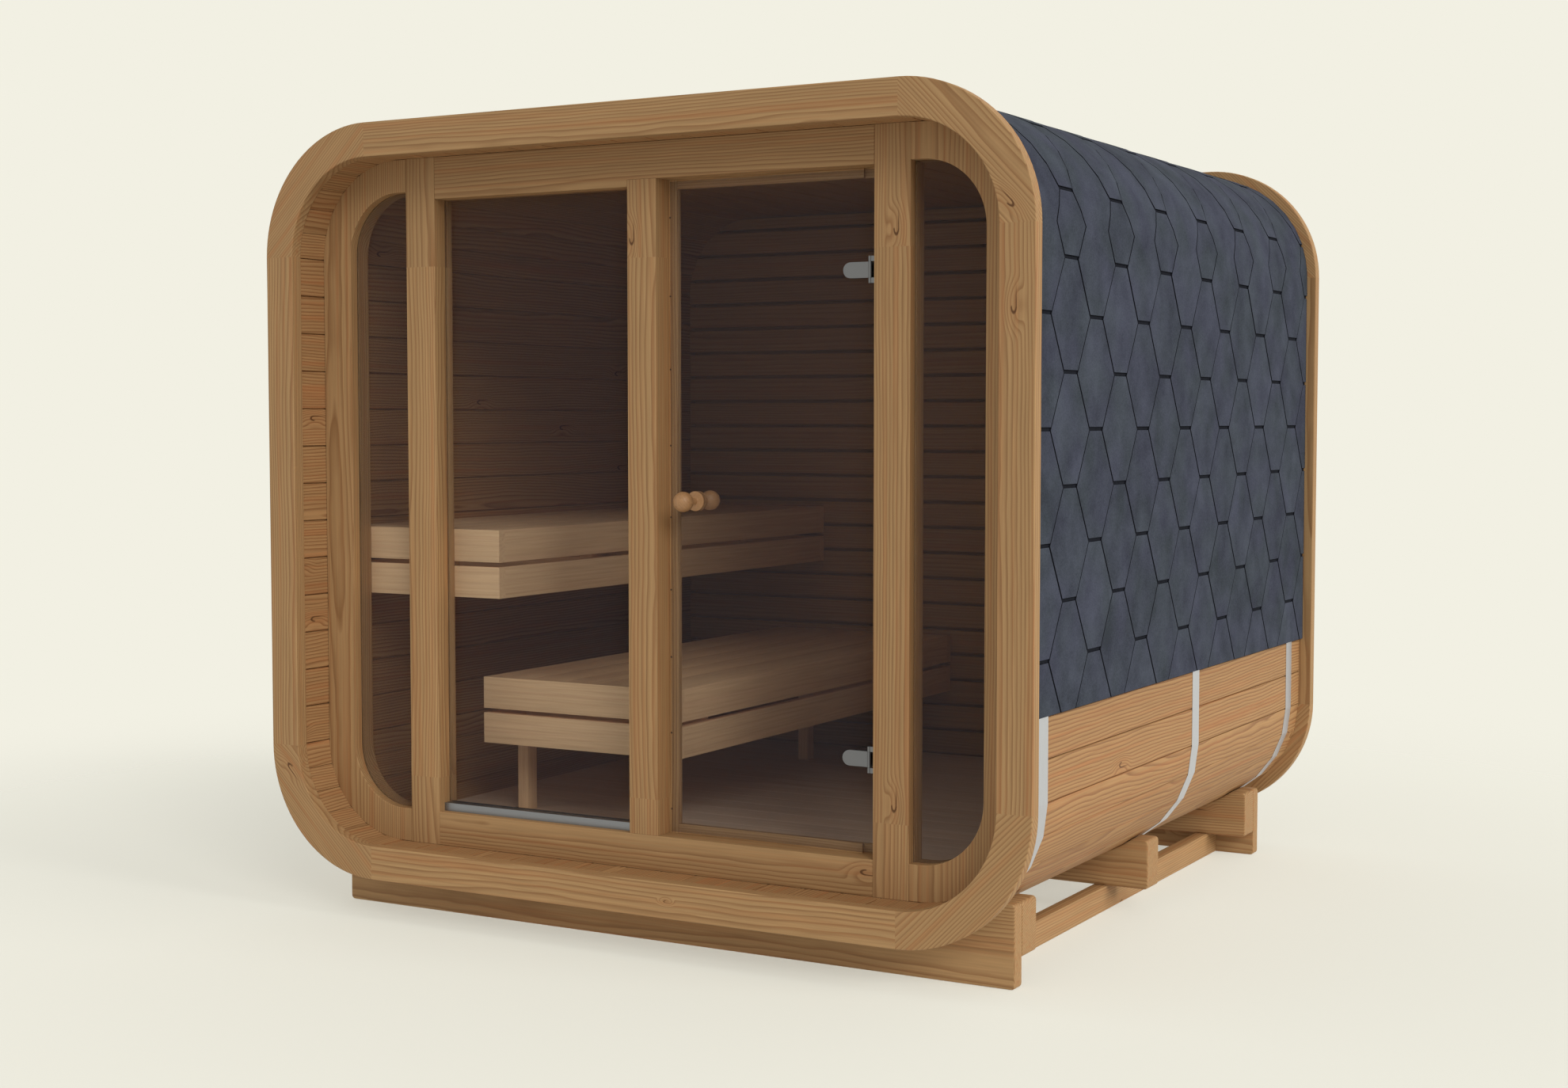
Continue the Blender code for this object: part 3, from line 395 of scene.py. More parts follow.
@dataclass(frozen=True)
class GranuleFelt:
    """Bitumen felt pressed with slate granules: matt blue-grey, speckled, each tab a shade apart.

    Attributes:
        name: Name of the material.
        dark: Colour between the granules.
        light: Colour of the palest ones.
        violet: Colour of the warmer patches.
        green: Colour of the cooler patches.
        grit: Width of the speckle. Real grit is 1 mm, drawn 4 mm wide so that it shows.
    """

    name: str = "slate_granule_felt"
    dark: str = "#2D3038"
    light: str = "#505460"
    violet: str = "#3D3D4C"
    green: str = "#3B4342"
    grit: float = 4 * MM

    def make(self) -> Material:
        """Builds the material.

        Returns:
            The material, which reads the point attribute tone.
        """
        made, tree, shader = new_material(self.name)
        dark, light = linear(self.dark), linear(self.light)
        violet, green = linear(self.violet), linear(self.green)
        place = add(tree, "TexCoord").outputs["Object"]
        tone = add(tree, "Attribute", attribute_name="tone").outputs["Fac"]
        grit = add(tree, "TexNoise", {
            "Vector": place, "Scale": 1.0 / self.grit, "Detail": 3.0, "Roughness": 0.75,
        })
        cloud = add(tree, "TexNoise", {"Vector": place, "Scale": 9.0, "Detail": 4.0, "Roughness": 0.6})
        mixed = add(tree, "Math", {0: cloud, 1: 1.1, 2: grit}, operation="MULTIPLY_ADD")
        shade = add(tree, "Math", {0: tone, 1: 0.16, 2: mixed}, operation="MULTIPLY_ADD")
        level = add(tree, "MapRange", {0: shade, 1: 0.82, 2: 1.46})
        base = add(tree, "Mix", {0: level, 6: dark, 7: light}, data_type="RGBA").outputs[2]
        hue = add(tree, "TexNoise", {"Vector": place, "Scale": 7.0, "Detail": 1.0})
        part = add(tree, "MapRange", {0: hue, 1: 0.35, 2: 0.65})
        tint = add(tree, "Mix", {0: part, 6: violet, 7: green}, data_type="RGBA").outputs[2]
        feed(shader, {
            "Base Color": add(tree, "Mix", {0: 0.3, 6: base, 7: tint}, data_type="RGBA").outputs[2],
            "Roughness": 0.95,
            "Specular IOR Level": 0.06,
            "Normal": add(tree, "Bump", {"Height": grit, "Strength": 0.5, "Distance": 0.8 * MM}),
        })
        return made


@dataclass(frozen=True)
class BitumenAndPaintedShade:
    """Bitumen at the cut edges and under the tabs: nearly black, dull, a little blue; it also paints the
    shade in the slots and seams.
    """

    name: str = "bare_bitumen"
    colour: str = "#17181E"
    worn: str = "#202228"

    def make(self) -> Material:
        """Builds the material.

        Returns:
            The material, with paler worn patches of 15 mm.
        """
        made, tree, shader = new_material(self.name)
        place = add(tree, "TexCoord").outputs["Object"]
        patch = add(tree, "TexNoise", {"Vector": place, "Scale": 60.0, "Detail": 2.0})
        mixed = add(tree, "Mix", {0: patch, 6: linear(self.colour), 7: linear(self.worn)}, data_type="RGBA")
        feed(shader, {"Base Color": mixed.outputs[2], "Roughness": 0.9, "Specular IOR Level": 0.05})
        return made


@dataclass(frozen=True)
class Metal:
    """Sheet or cast metal with a fine direction of brushing, which spreads its highlights one way.

    Attributes:
        name: Name of the material.
        colour: Its colour.
        roughness: Middle of the roughness.
        brushing: Lines a metre along each axis, the lowest number being along the brushing.
        streak: How far the lines are lighter or darker.
    """

    name: str
    colour: str
    roughness: float = 0.35
    brushing: tuple[float, float, float] = (900.0, 30.0, 900.0)
    streak: float = 0.12

    def make(self) -> Material:
        """Builds the material.

        Returns:
            The material, brushed along the axis with the lowest number of lines a metre.
        """
        made, tree, shader = new_material(self.name)
        place = add(tree, "TexCoord").outputs["Object"]
        lines = add(tree, "VectorMath", {0: place, 1: self.brushing}, operation="MULTIPLY")
        noise = add(tree, "TexNoise", {"Vector": lines, "Scale": 1.0, "Detail": 2.0})
        level = add(tree, "MapRange", {0: noise, 3: 1.0 - self.streak, 4: 1.0 + self.streak})
        plain = linear(self.colour)[:3]
        feed(shader, {
            "Base Color": add(tree, "VectorMath", {0: plain, "Scale": level}, operation="SCALE"),
            "Roughness": add(tree, "MapRange", {0: noise, 3: self.roughness - 0.06, 4: self.roughness + 0.1}),
            "Metallic": 1.0,
        })
        return made


@dataclass(frozen=True)
class TintedGlass:
    """Toughened float glass tinted grey-bronze: it dims what is behind, with a faint veil and mirror.

    Each face of a pane stops a quarter of the light that the eye sees through it; lamps shine
    in as if the pane were clear, so that the benches behind it stay readable.
    """

    name: str = "tinted_float_glass"
    film: str = "#353135"
    cover: float = 0.25

    def make(self) -> Material:
        """Builds the material.

        Returns:
            The material: a thin dark film mixed with a clear one.
        """
        made, tree, shader = new_material(self.name)
        feed(shader, {"Base Color": linear(self.film), "Roughness": 0.04, "Specular IOR Level": 0.12})
        ray = add(tree, "LightPath").outputs
        lamp = add(tree, "Math", {0: ray["Is Shadow Ray"], 1: ray["Is Diffuse Ray"]}, operation="MAXIMUM")
        clear = add(tree, "BsdfTransparent")
        seen = add(tree, "MixShader", {0: self.cover, 1: clear, 2: shader})
        feed(tree.nodes["Material Output"], {"Surface": add(tree, "MixShader", {0: lamp, 1: seen, 2: clear})})
        return made


@dataclass(frozen=True)
class Finishes:
    """The cabin's finishes, each made once."""

    pine: Material
    staves: Material
    wall: Material
    floor: Material
    bench: Material
    knob: Material
    felt: Material
    bitumen: Material
    strap: Material
    sill: Material
    hinge: Material
    glass: Material
    nail: Material

    @classmethod
    def make(cls) -> "Finishes":
        """Builds every finish.

        Returns:
            The finishes.
        """
        return cls(
            # Rings, posts, rails and beams: slow-grown pine, fine lively rings on a straw colour.
            pine=PlanedPine().make(),
            # Staves: faster-grown pine, whose rings stand wider and read redder and darker.
            staves=PlanedPine(name="planed_stave_pine", early="#B0885B", late="#7A4E2C", warm="#A86B40",
                              ring_pitch=8 * MM, bend=0.08, knots=0.10, contrast=0.78).make(),
            # Back wall: quiet straight boards, so that their dark joints read first.
            wall=PlanedPine(name="planed_wall_pine", early="#A57D52", late="#7A4E2C", warm="#A06A42",
                            ring_pitch=7 * MM, bend=0.03, knots=0.04, contrast=0.35).make(),
            # Floor: scrubbed spruce, the palest wood, dull and nearly without figure.
            floor=PlanedPine(name="scrubbed_floor_spruce", early="#E6CDB2", late="#D6BC9F", warm="#D9B594",
                             knot="#A98260", ring_pitch=12 * MM, contrast=0.5, knots=0.03,
                             roughness=0.7).make(),
            # Benches: aspen, creamy and even, so that the boards' edges draw the bench.
            bench=PlanedPine(name="planed_aspen", early="#F0CA9B", late="#E0B88A", warm="#E3B78E",
                             knot="#A98260", ring_pitch=12 * MM, contrast=0.5, knots=0.03,
                             roughness=0.64).make(),
            # Knob: turned birch under lacquer, which gives the ball a soft spot of light.
            knob=PlanedPine(name="lacquered_turned_birch", early="#AA8057", late="#997048", warm="#A3764C",
                            ring_pitch=5 * MM, contrast=0.5, knots=0.0, roughness=0.42, specular=0.35).make(),
            felt=GranuleFelt().make(),
            # Bitumen: nearly black, which also paints the shade in the shingles' slots and seams.
            bitumen=BitumenAndPaintedShade().make(),
            # Straps: stainless steel rolled lengthwise, bright, with fine lines round the barrel.
            strap=Metal("rolled_stainless_strap", "#CACCD4", 0.34, (40.0, 1200.0, 40.0)).make(),
            # Sill profile: anodised aluminium drawn from side to side, a plain middle grey.
            sill=Metal("anodised_sill_aluminium", "#8C8E94", 0.40, (30.0, 900.0, 900.0)).make(),
            # Hinges: cast zinc with a satin coat, even in every direction.
            hinge=Metal("satin_cast_hinge_zinc", "#77787C", 0.42, (200.0, 200.0, 200.0), 0.05).make(),
            glass=TintedGlass().make(),
            # Nails: blued steel, dark dots with a dull shine.
            nail=Metal("blued_steel_nail", "#4A4038", 0.5, (400.0, 400.0, 400.0)).make(),
        )


@dataclass(frozen=True)
class Joint:
    """Joint between two staves, of which each one has half.

    Attributes:
        middle: X and Z of the barrel's middle, away from which a stave's best face looks.
        chamfer: Leg of the small chamfer at the face.
        slot: Half the width of the open slot.
        deep: Depth of the slot.
    """

    middle: tuple[float, float]
    chamfer: float = 2.6 * MM
    slot: float = 1.2 * MM
    deep: float = 6.5 * MM


@dataclass
class Timber:
    """Collects boards and turns them into one piece, each with its own place in a log.

    Attributes:
        name: Name of the piece.
        seed: Seed of the random draws.
        nodes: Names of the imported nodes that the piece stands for.
        points: Points of each board.
        faces: Faces of all boards.
        grain: Each board's place in its log.
        knot: Way from each board's own knot.
        tone: Each board's own number from 0 to 1.
        count: Points so far.
        random: Random draws.
    """

    name: str
    seed: int
    nodes: tuple[str, ...]
    points: list[Array] = field(default_factory=list)
    faces: list[list[int]] = field(default_factory=list)
    grain: list[Array] = field(default_factory=list)
    knot: list[Array] = field(default_factory=list)
    tone: list[Array] = field(default_factory=list)
    count: int = 0
    random: np.random.Generator = field(init=False)

    def __post_init__(self) -> None:
        """Starts the random draws."""
        self.random = np.random.default_rng(self.seed)

    def stack(self, outlines: Array, levels: Array, plane: Plane, along: Sequence[float],
              face: Sequence[float]) -> None:
        """Adds one board as closed outlines carried from level to level.

        Neighbouring outlines are joined point to point by quads, and the first and the last are
        closed by one flat face each.

        Args:
            outlines: Levels by points by 2.
            levels: Place of each outline on the plane's third axis.
            plane: Plane of the outlines.
            along: Direction of the grain.
            face: Direction that the board's best face looks.
        """
        rows, width = outlines.shape[:2]
        first, second, third = plane.value
        places = np.zeros((rows, width, 3))
        places[:, :, first] = outlines[:, :, 0]
        places[:, :, second] = outlines[:, :, 1]
        places[:, :, third] = np.asarray(levels)[:, None]
        ring = outlines[0]
        area = np.sum(ring[:, 0] * np.roll(ring[:, 1], -1) - ring[:, 1] * np.roll(ring[:, 0], -1))
        hand = -1.0 if plane is Plane.XZ else 1.0
        forward = area * hand * (levels[-1] - levels[0]) > 0
        index = self.count + np.arange(rows * width).reshape(rows, width)
        near, far = index[:-1], index[1:]
        quads = np.stack([near, np.roll(near, -1, 1), np.roll(far, -1, 1), far], -1).reshape(-1, 4)
        caps = [index[0, ::-1], index[-1]]
        if not forward:
            quads = quads[:, ::-1]
            caps = [cap[::-1] for cap in caps]
        self.faces += quads.tolist() + [cap.tolist() for cap in caps]
        self.add_points(places.reshape(-1, 3), along, face)

    def add_points(self, places: Array, along: Sequence[float], face: Sequence[float]) -> None:
        """Keeps a board's points, and works out its grain coordinates.

        The log's own axes are the grain's direction, the direction across the best face and that
        face's normal. The board is cut at a random place along the log, 50 to 130 mm out from
        the pith and 25 to 80 degrees round from the middle of a flat-sawn face. A knot low on
        the cabin, on the ring's foot or the beam, is a pin knot, drawn at a smaller size.

        Args:
            places: Points by 3.
            along: Direction of the grain.
            face: Direction of the best face.
        """
        lengthwise = np.array(along, float) / np.linalg.norm(along)
        normal = np.array(face, float) / np.linalg.norm(face)
        across = np.cross(normal, lengthwise)
        middle = (places.min(0) + places.max(0)) / 2
        local = np.stack([places @ lengthwise, (places - middle) @ across, (places - middle) @ normal], -1)
        out, turn = self.random.uniform(0.05, 0.13), math.radians(self.random.uniform(25, 80))
        hand = self.random.choice((-1.0, 1.0))
        shift = [self.random.uniform(0, 60), hand * out * math.sin(turn), out * math.cos(turn)]
        reach = np.ptp(places, axis=0) / 2 + KNOT_PAST
        inside = [spot for spot in KNOTS if np.all(np.abs(spot - middle) < reach)]
        apart = places - inside[0] if inside else np.full_like(places, FAR)
        if inside and inside[0][2] < PIN_KNOT_BELOW:
            apart = apart / PIN_KNOT
        self.knot.append(np.stack([apart @ lengthwise, apart @ across, np.zeros(len(places))], -1))
        self.points.append(places)
        self.grain.append(local + shift)
        self.tone.append(np.full(len(places), self.random.uniform()))
        self.count += len(places)

    def plate(self, shape: Shape, start: float, end: float, ease: float, plane: Plane, along: Sequence[float],
              face: Sequence[float], slot: float = 0.0, deep: float = 0.0) -> None:
        """Adds a board cut to an outline, with rounded edges on both faces.

        The outline is drawn in by the ease at each face and reaches its full size one ease
        below it, along a quarter circle. With a slot it stays drawn in by the slot as far as the
        slot is deep, which leaves an open joint beside the next board.

        Args:
            shape: Outline drawn in by a given amount.
            start: First face on the third axis.
            end: Second face on the third axis.
            ease: Radius of the rounded edges.
            plane: Plane of the outline.
            along: Direction of the grain.
            face: Direction of the best face.
            slot: Half the width of an open joint.
            deep: Depth of the open joint from each face.
        """
        depth, drawn_in = quarter_round(ease)
        inset = slot + drawn_in
        if slot:
            depth, inset = np.append(depth, [deep, deep]), np.append(inset, [slot, 0.0])
        depth = depth * np.sign(end - start)
        levels = np.concatenate([start + depth, (end - depth)[::-1]])
        outlines = np.stack([shape(value) for value in np.concatenate([inset, inset[::-1]])])
        self.stack(outlines, levels, plane, along, face)

    def bar(self, corners: Array, start: float, end: float, ease: float, plane: Plane,
            along: Sequence[float], face: Sequence[float]) -> None:
        """Adds a board of one cross-section, with its long edges rounded.

        Args:
            corners: Corners of the section.
            start: First end on the third axis.
            end: Second end on the third axis.
            ease: Radius of the rounded edges.
            plane: Plane of the section.
            along: Direction of the grain.
            face: Direction of the best face.
        """
        section = fillet(corners, ease)
        self.stack(np.stack([section, section]), np.array([start, end]), plane, along, face)

    def box(self, low: Sequence[float], high: Sequence[float], ease: float, axis: int,
            face: Sequence[float]) -> None:
        """Adds a plain board between two corners.

        Args:
            low: Lowest corner.
            high: Highest corner.
            ease: Radius of its long edges.
            axis: Number of the axis that its length and its grain follow.
            face: Direction of the best face.
        """
        plane = {0: Plane.YZ, 1: Plane.XZ, 2: Plane.XY}[axis]
        a, b, _ = plane.value
        corners = np.array([[low[a], low[b]], [high[a], low[b]], [high[a], high[b]], [low[a], high[b]]])
        self.bar(corners, low[axis], high[axis], ease, plane, np.eye(3)[axis], face)

    def lapped(self, low: Sequence[float], high: Sequence[float], across: int, joint: Joint) -> None:
        """Adds a lengthwise board whose long edges show a joint.

        An edge has a small chamfer, then its half of a narrow slot, then wood that meets the
        next board's.

        Args:
            low: Lowest corner.
            high: Highest corner.
            across: Number of the axis that the next board lies on, 0 or 2.
            joint: Sizes of the joint.
        """
        thick = 2 - across
        c, s, d = joint.chamfer, joint.slot, joint.deep
        way = np.array([[c, 0], [s, c], [s, d], [0.0, d]])
        half = np.concatenate([way, way[::-1] * [1, -1] + [0, high[thick] - low[thick]]])
        full = np.concatenate([half, half[::-1] * [-1, 1] + [high[across] - low[across], 0]])
        section = np.zeros((len(full), 2))
        section[:, across // 2] = full[:, 0] + low[across]
        section[:, thick // 2] = full[:, 1] + low[thick]
        face = np.zeros(3)
        face[thick] = np.sign(low[thick] + high[thick] - 2 * joint.middle[thick // 2])
        self.stack(np.stack([section, section]), np.array([low[1], high[1]]), Plane.XZ, INWARD, face)

    def build(self, material: Material, slot: str, body: Body = Body.CABIN, smooth: float = 22.0) -> None:
        """Makes the piece from its boards.

        Args:
            material: Finish of the piece.
            slot: The record's material slot.
            body: Body that the piece rides on.
            smooth: Edges flatter than this many degrees are shaded smooth.
        """
        mesh = bpy.data.meshes.new(self.name)
        mesh.from_pydata(np.concatenate(self.points).tolist(), [], self.faces)
        for name, values in (("grain", self.grain), ("knot", self.knot)):
            places = mesh.attributes.new(name, "FLOAT_VECTOR", "POINT")
            places.data.foreach_set("vector", np.concatenate(values).astype(np.float32).ravel())
        tone = mesh.attributes.new("tone", "FLOAT", "POINT")
        tone.data.foreach_set("value", np.concatenate(self.tone).astype(np.float32))
        place_piece(self.name, mesh, (material,), slot, body, self.nodes, smooth)


def place_piece(name: str, mesh: bpy.types.Mesh, materials: Sequence[Material], slot: str,
                body: Body, nodes: Sequence[str], smooth: float) -> None:
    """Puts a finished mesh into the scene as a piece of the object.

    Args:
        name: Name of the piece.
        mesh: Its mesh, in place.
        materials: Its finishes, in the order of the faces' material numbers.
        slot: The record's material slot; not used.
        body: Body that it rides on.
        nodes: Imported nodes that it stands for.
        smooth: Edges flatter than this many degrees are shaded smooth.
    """
    mesh.validate()
    mesh.shade_smooth()
    mesh.set_sharp_from_angle(angle=math.radians(smooth))
    for material in materials:
        mesh.materials.append(material)
    piece = bpy.data.objects.new(name, mesh)
    bpy.context.scene.collection.objects.link(piece)
    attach(piece, body.value)
    if nodes:
        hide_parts(*nodes)
    LOG.info("%s: %d faces", name, len(mesh.polygons))


def fillet(corners: Array, radius: float, steps: int = 2) -> Array:
    """Rounds the corners of an outline.

    Each corner becomes a parabola that leaves one edge and joins the next at the radius from
    the corner: corner + radius * (to the last corner * (1 - u) squared + to the next * u squared).

    Args:
        corners: Points by 2.
        radius: Distance from the corner at which the curve starts.
        steps: Segments of each curve.

    Returns:
        The rounded outline.
    """
    back = np.roll(corners, 1, 0) - corners
    ahead = np.roll(corners, -1, 0) - corners
    back = back / np.linalg.norm(back, axis=1, keepdims=True)
    ahead = ahead / np.linalg.norm(ahead, axis=1, keepdims=True)
    u = np.linspace(0, 1, steps + 1)[None, :, None]
    curve = corners[:, None] + radius * (back[:, None] * (1 - u) ** 2 + ahead[:, None] * u ** 2)
    return curve.reshape(-1, 2)


def quarter_round(radius: float) -> tuple[Array, Array]:
    """Three points of a rounded edge: their depth below the face, and how far each is drawn in."""
    turn = np.linspace(0, math.pi / 2, 3)
    return radius * (1 - np.cos(turn)), radius * (1 - np.sin(turn))


def arc(centre: Sequence[float], radius: float, start: float, end: float, steps: int) -> Array:
    """Points of an arc from one angle to another in degrees, both ends included."""
    angle = np.radians(np.linspace(start, end, steps + 1))
    return np.stack([centre[0] + radius * np.cos(angle), centre[1] + radius * np.sin(angle)], -1)


@dataclass
class Barrel:
    """The cabin's rounded square section, from the front ring's box.

    Attributes:
        corner: Radius of the rings' outer corners.
        inset: How far the staves lie inside the rings' outline.
        thick: Thickness of the staves.
        half: Half the rings' width.
        low: Height of the rings' foot.
        top: Height of the rings' top.
        front: Depth of the front ring's face.
        corner_x: X of the corners' centres.
        corner_low: Height of the lower corners' centres.
        corner_high: Height of the upper ones.
        end_points: Points up the curved end of a level board.
    """

    corner: float = 0.350
    inset: float = 0.038
    thick: float = 0.048
    end_points: int = 5
    half: float = field(init=False)
    low: float = field(init=False)
    top: float = field(init=False)
    front: float = field(init=False)
    corner_x: float = field(init=False)
    corner_low: float = field(init=False)
    corner_high: float = field(init=False)

    def __post_init__(self) -> None:
        """Reads the outline's size from the front ring."""
        low, high = span("front_ring")
        self.half, self.front = high[0], low[1]
        self.low, self.top = low[2], high[2]
        self.corner_x = self.half - self.corner
        self.corner_low, self.corner_high = self.low + self.corner, self.top - self.corner

    def centre(self, side: int, up: int) -> tuple[float, float]:
        """Middle of a corner's arc, for side and up of 1 or -1."""
        return (side * self.corner_x, self.corner_high if up > 0 else self.corner_low)

    def turn(self, side: int, up: int) -> int:
        """Angle in degrees at which a corner's arc starts, for side and up of 1 or -1."""
        return {(1, 1): 0, (-1, 1): 90, (-1, -1): 180, (1, -1): 270}[side, up]

    def reach(self, z: Array, inset: float) -> Array:
        """Half width inside the outline drawn in by an inset, at each height.

        Args:
            z: Heights.
            inset: How far the outline is drawn in.

        Returns:
            Distance from the middle plane: flat between the corners, and a circle in them.
        """
        radius = self.corner - inset
        over = np.maximum(np.maximum(z - self.corner_high, self.corner_low - z), 0.0)
        return self.corner_x + np.sqrt(np.maximum(radius ** 2 - over ** 2, 0.0))

    def board(self, z0: float, z1: float, inset: float) -> Shape:
        """Outline of a level board between two heights, its ends cut to the barrel's curve.

        Args:
            z0: Height of its lower edge.
            z1: Height of its upper edge.
            inset: How far its ends lie inside the rings' outline.

        Returns:
            The outline.
        """
        def shape(ease: float) -> Array:
            """Draws the outline in.

            Args:
                ease: How far.

            Returns:
                Points by 2.
            """
            z = np.linspace(z0 + ease, z1 - ease, self.end_points)
            x = self.reach(z, inset)
            return np.concatenate([np.stack([x, z], -1), np.stack([-x, z], -1)[::-1]])
        return shape


@dataclass
class Assembly:
    """One sub-assembly of the cabin.

    Attributes:
        barrel: The cabin's section.
        finishes: The cabin's finishes.
    """

    barrel: Barrel
    finishes: Finishes


@dataclass
class EndRing(Assembly):
    """One glued ring: four boards and four quarter pieces sawn from boards set at 45 degrees.

    Attributes:
        node: The ring's node, front or back.
        seed: Seed of its draws.
        face: Width of its boards.
        ease: Radius of its rounded edges.
        steps: Segments of a corner.
    """

    node: str
    seed: int
    face: float = 0.092
    ease: float = 2.5 * MM
    steps: int = 24

    def build(self) -> None:
        """Makes the ring."""
        low, high = span(self.node)
        outward = FORWARD if low[1] < 0 else INWARD
        ring = Timber(f"{self.node}_boards", self.seed, (self.node,))
        for up in (1, -1):
            ring.plate(self.level_board(up), low[1], high[1], self.ease, Plane.XZ, RIGHT, outward)
        for side in (1, -1):
            ring.plate(self.upright_board(side), low[1], high[1], self.ease, Plane.XZ, UP, outward)
            for up in (1, -1):
                ring.plate(self.quarter(side, up), low[1], high[1], self.ease, Plane.XZ, (-side, 0, up),
                           outward)
        ring.build(self.finishes.pine, "glulam")

    def level_board(self, up: int) -> Shape:
        """Outline of the top or the bottom board.

        Args:
            up: 1 for the top and -1 for the bottom.

        Returns:
            The outline, four points.
        """
        def shape(ease: float) -> Array:
            """Draws the outline in.

            Args:
                ease: How far.

            Returns:
                Points by 2.
            """
            edge = self.barrel.top if up > 0 else self.barrel.low
            outer, inner = edge - up * ease, edge - up * (self.face - ease)
            x = self.barrel.corner_x
            return np.array([[-x, outer], [x, outer], [x, inner], [-x, inner]])
        return shape

    def upright_board(self, side: int) -> Shape:
        """Outline of a side board.

        Args:
            side: 1 on the right and -1 on the left.

        Returns:
            The outline, four points.
        """
        def shape(ease: float) -> Array:
            """Draws the outline in.

            Args:
                ease: How far.

            Returns:
                Points by 2.
            """
            outer, inner = side * (self.barrel.half - ease), side * (self.barrel.half - self.face + ease)
            z0, z1 = self.barrel.corner_low, self.barrel.corner_high
            return np.array([[outer, z0], [outer, z1], [inner, z1], [inner, z0]])
        return shape

    def quarter(self, side: int, up: int) -> Shape:
        """Outline of a corner piece: an outer arc, and an inner arc back.

        Args:
            side: 1 on the right and -1 on the left.
            up: 1 at the top and -1 at the bottom.

        Returns:
            The outline.
        """
        start, centre = self.barrel.turn(side, up), self.barrel.centre(side, up)

        def shape(ease: float) -> Array:
            """Draws the outline in.

            Args:
                ease: How far.

            Returns:
                Points by 2.
            """
            outer = arc(centre, self.barrel.corner - ease, start, start + 90, self.steps)
            inner = arc(centre, self.barrel.corner - self.face + ease, start, start + 90, self.steps)
            return np.concatenate([outer, inner[::-1]])
        return shape


@dataclass
class Staves(Assembly):
    """The barrel's lengthwise staves: four flat runs and four quarters of narrow ones.

    Attributes:
        across: Staves in the roof, and in the floor.
        upright: Staves in a side wall.
        corner: Staves in a corner.
        ease: Radius of a corner stave's long edges.
        gap: Half the gap between two corner staves.
        seed: Seed of the draws.
    """

    across: int = 15
    upright: int = 13
    corner: int = 6
    ease: float = 2.2 * MM
    gap: float = 0.25 * MM
    seed: int = 40

    def build(self) -> None:
        """Makes the eight groups of staves."""
        for node in ("roof_staves", "floor_staves"):
            self.flat_run(node, self.across, 0)
        for node in ("right_wall_staves", "left_wall_staves"):
            self.flat_run(node, self.upright, 2)
        for side, word in ((1, "right"), (-1, "left")):
            for up, height in ((1, "top"), (-1, "bottom")):
                self.quarter(f"{height}_{word}_corner_staves", side, up)

    def flat_run(self, node: str, count: int, across: int) -> None:
        """One flat run of staves.

        Args:
            node: Node that the run stands for.
            count: How many staves it has.
            across: Number of the axis that they follow one another on.
        """
        low, high = span(node)
        b = self.barrel
        run = Timber(f"{node}_boards", self.seed + count + across + int(high[2] > b.corner_high), (node,))
        joint = Joint((0.0, (b.low + b.top) / 2))
        for start, end in neighbours(np.linspace(low[across], high[across], count + 1)):
            bottom, top = low.copy(), high.copy()
            bottom[across], top[across] = start, end
            run.lapped(bottom, top, across, joint)
        run.build(self.finishes.staves, "staves")

    def quarter(self, node: str, side: int, up: int) -> None:
        """One corner of narrow staves, each a wedge-sided board with flat faces.

        Args:
            node: Node that the corner stands for.
            side: 1 on the right and -1 on the left.
            up: 1 at the top and -1 at the bottom.
        """
        b = self.barrel
        low, high = span(node)
        run = Timber(f"{node}_boards", self.seed + 10 + side + 3 * up, (node,))
        outer = b.corner - b.inset
        inner, slim = outer - b.thick, self.gap / outer
        for first, last in neighbours(np.radians(b.turn(side, up) + np.linspace(0, 90, self.corner + 1))):
            angle = np.array([first + slim, last - slim, last - slim, first + slim])
            radius = np.array([outer, outer, inner, inner])
            corners = np.stack([radius * np.cos(angle), radius * np.sin(angle)], -1) + b.centre(side, up)
            middle = (first + last) / 2
            face = (math.cos(middle), 0, math.sin(middle))
            run.bar(corners, low[1], high[1], self.ease, Plane.XZ, INWARD, face)
        run.build(self.finishes.staves, "staves")


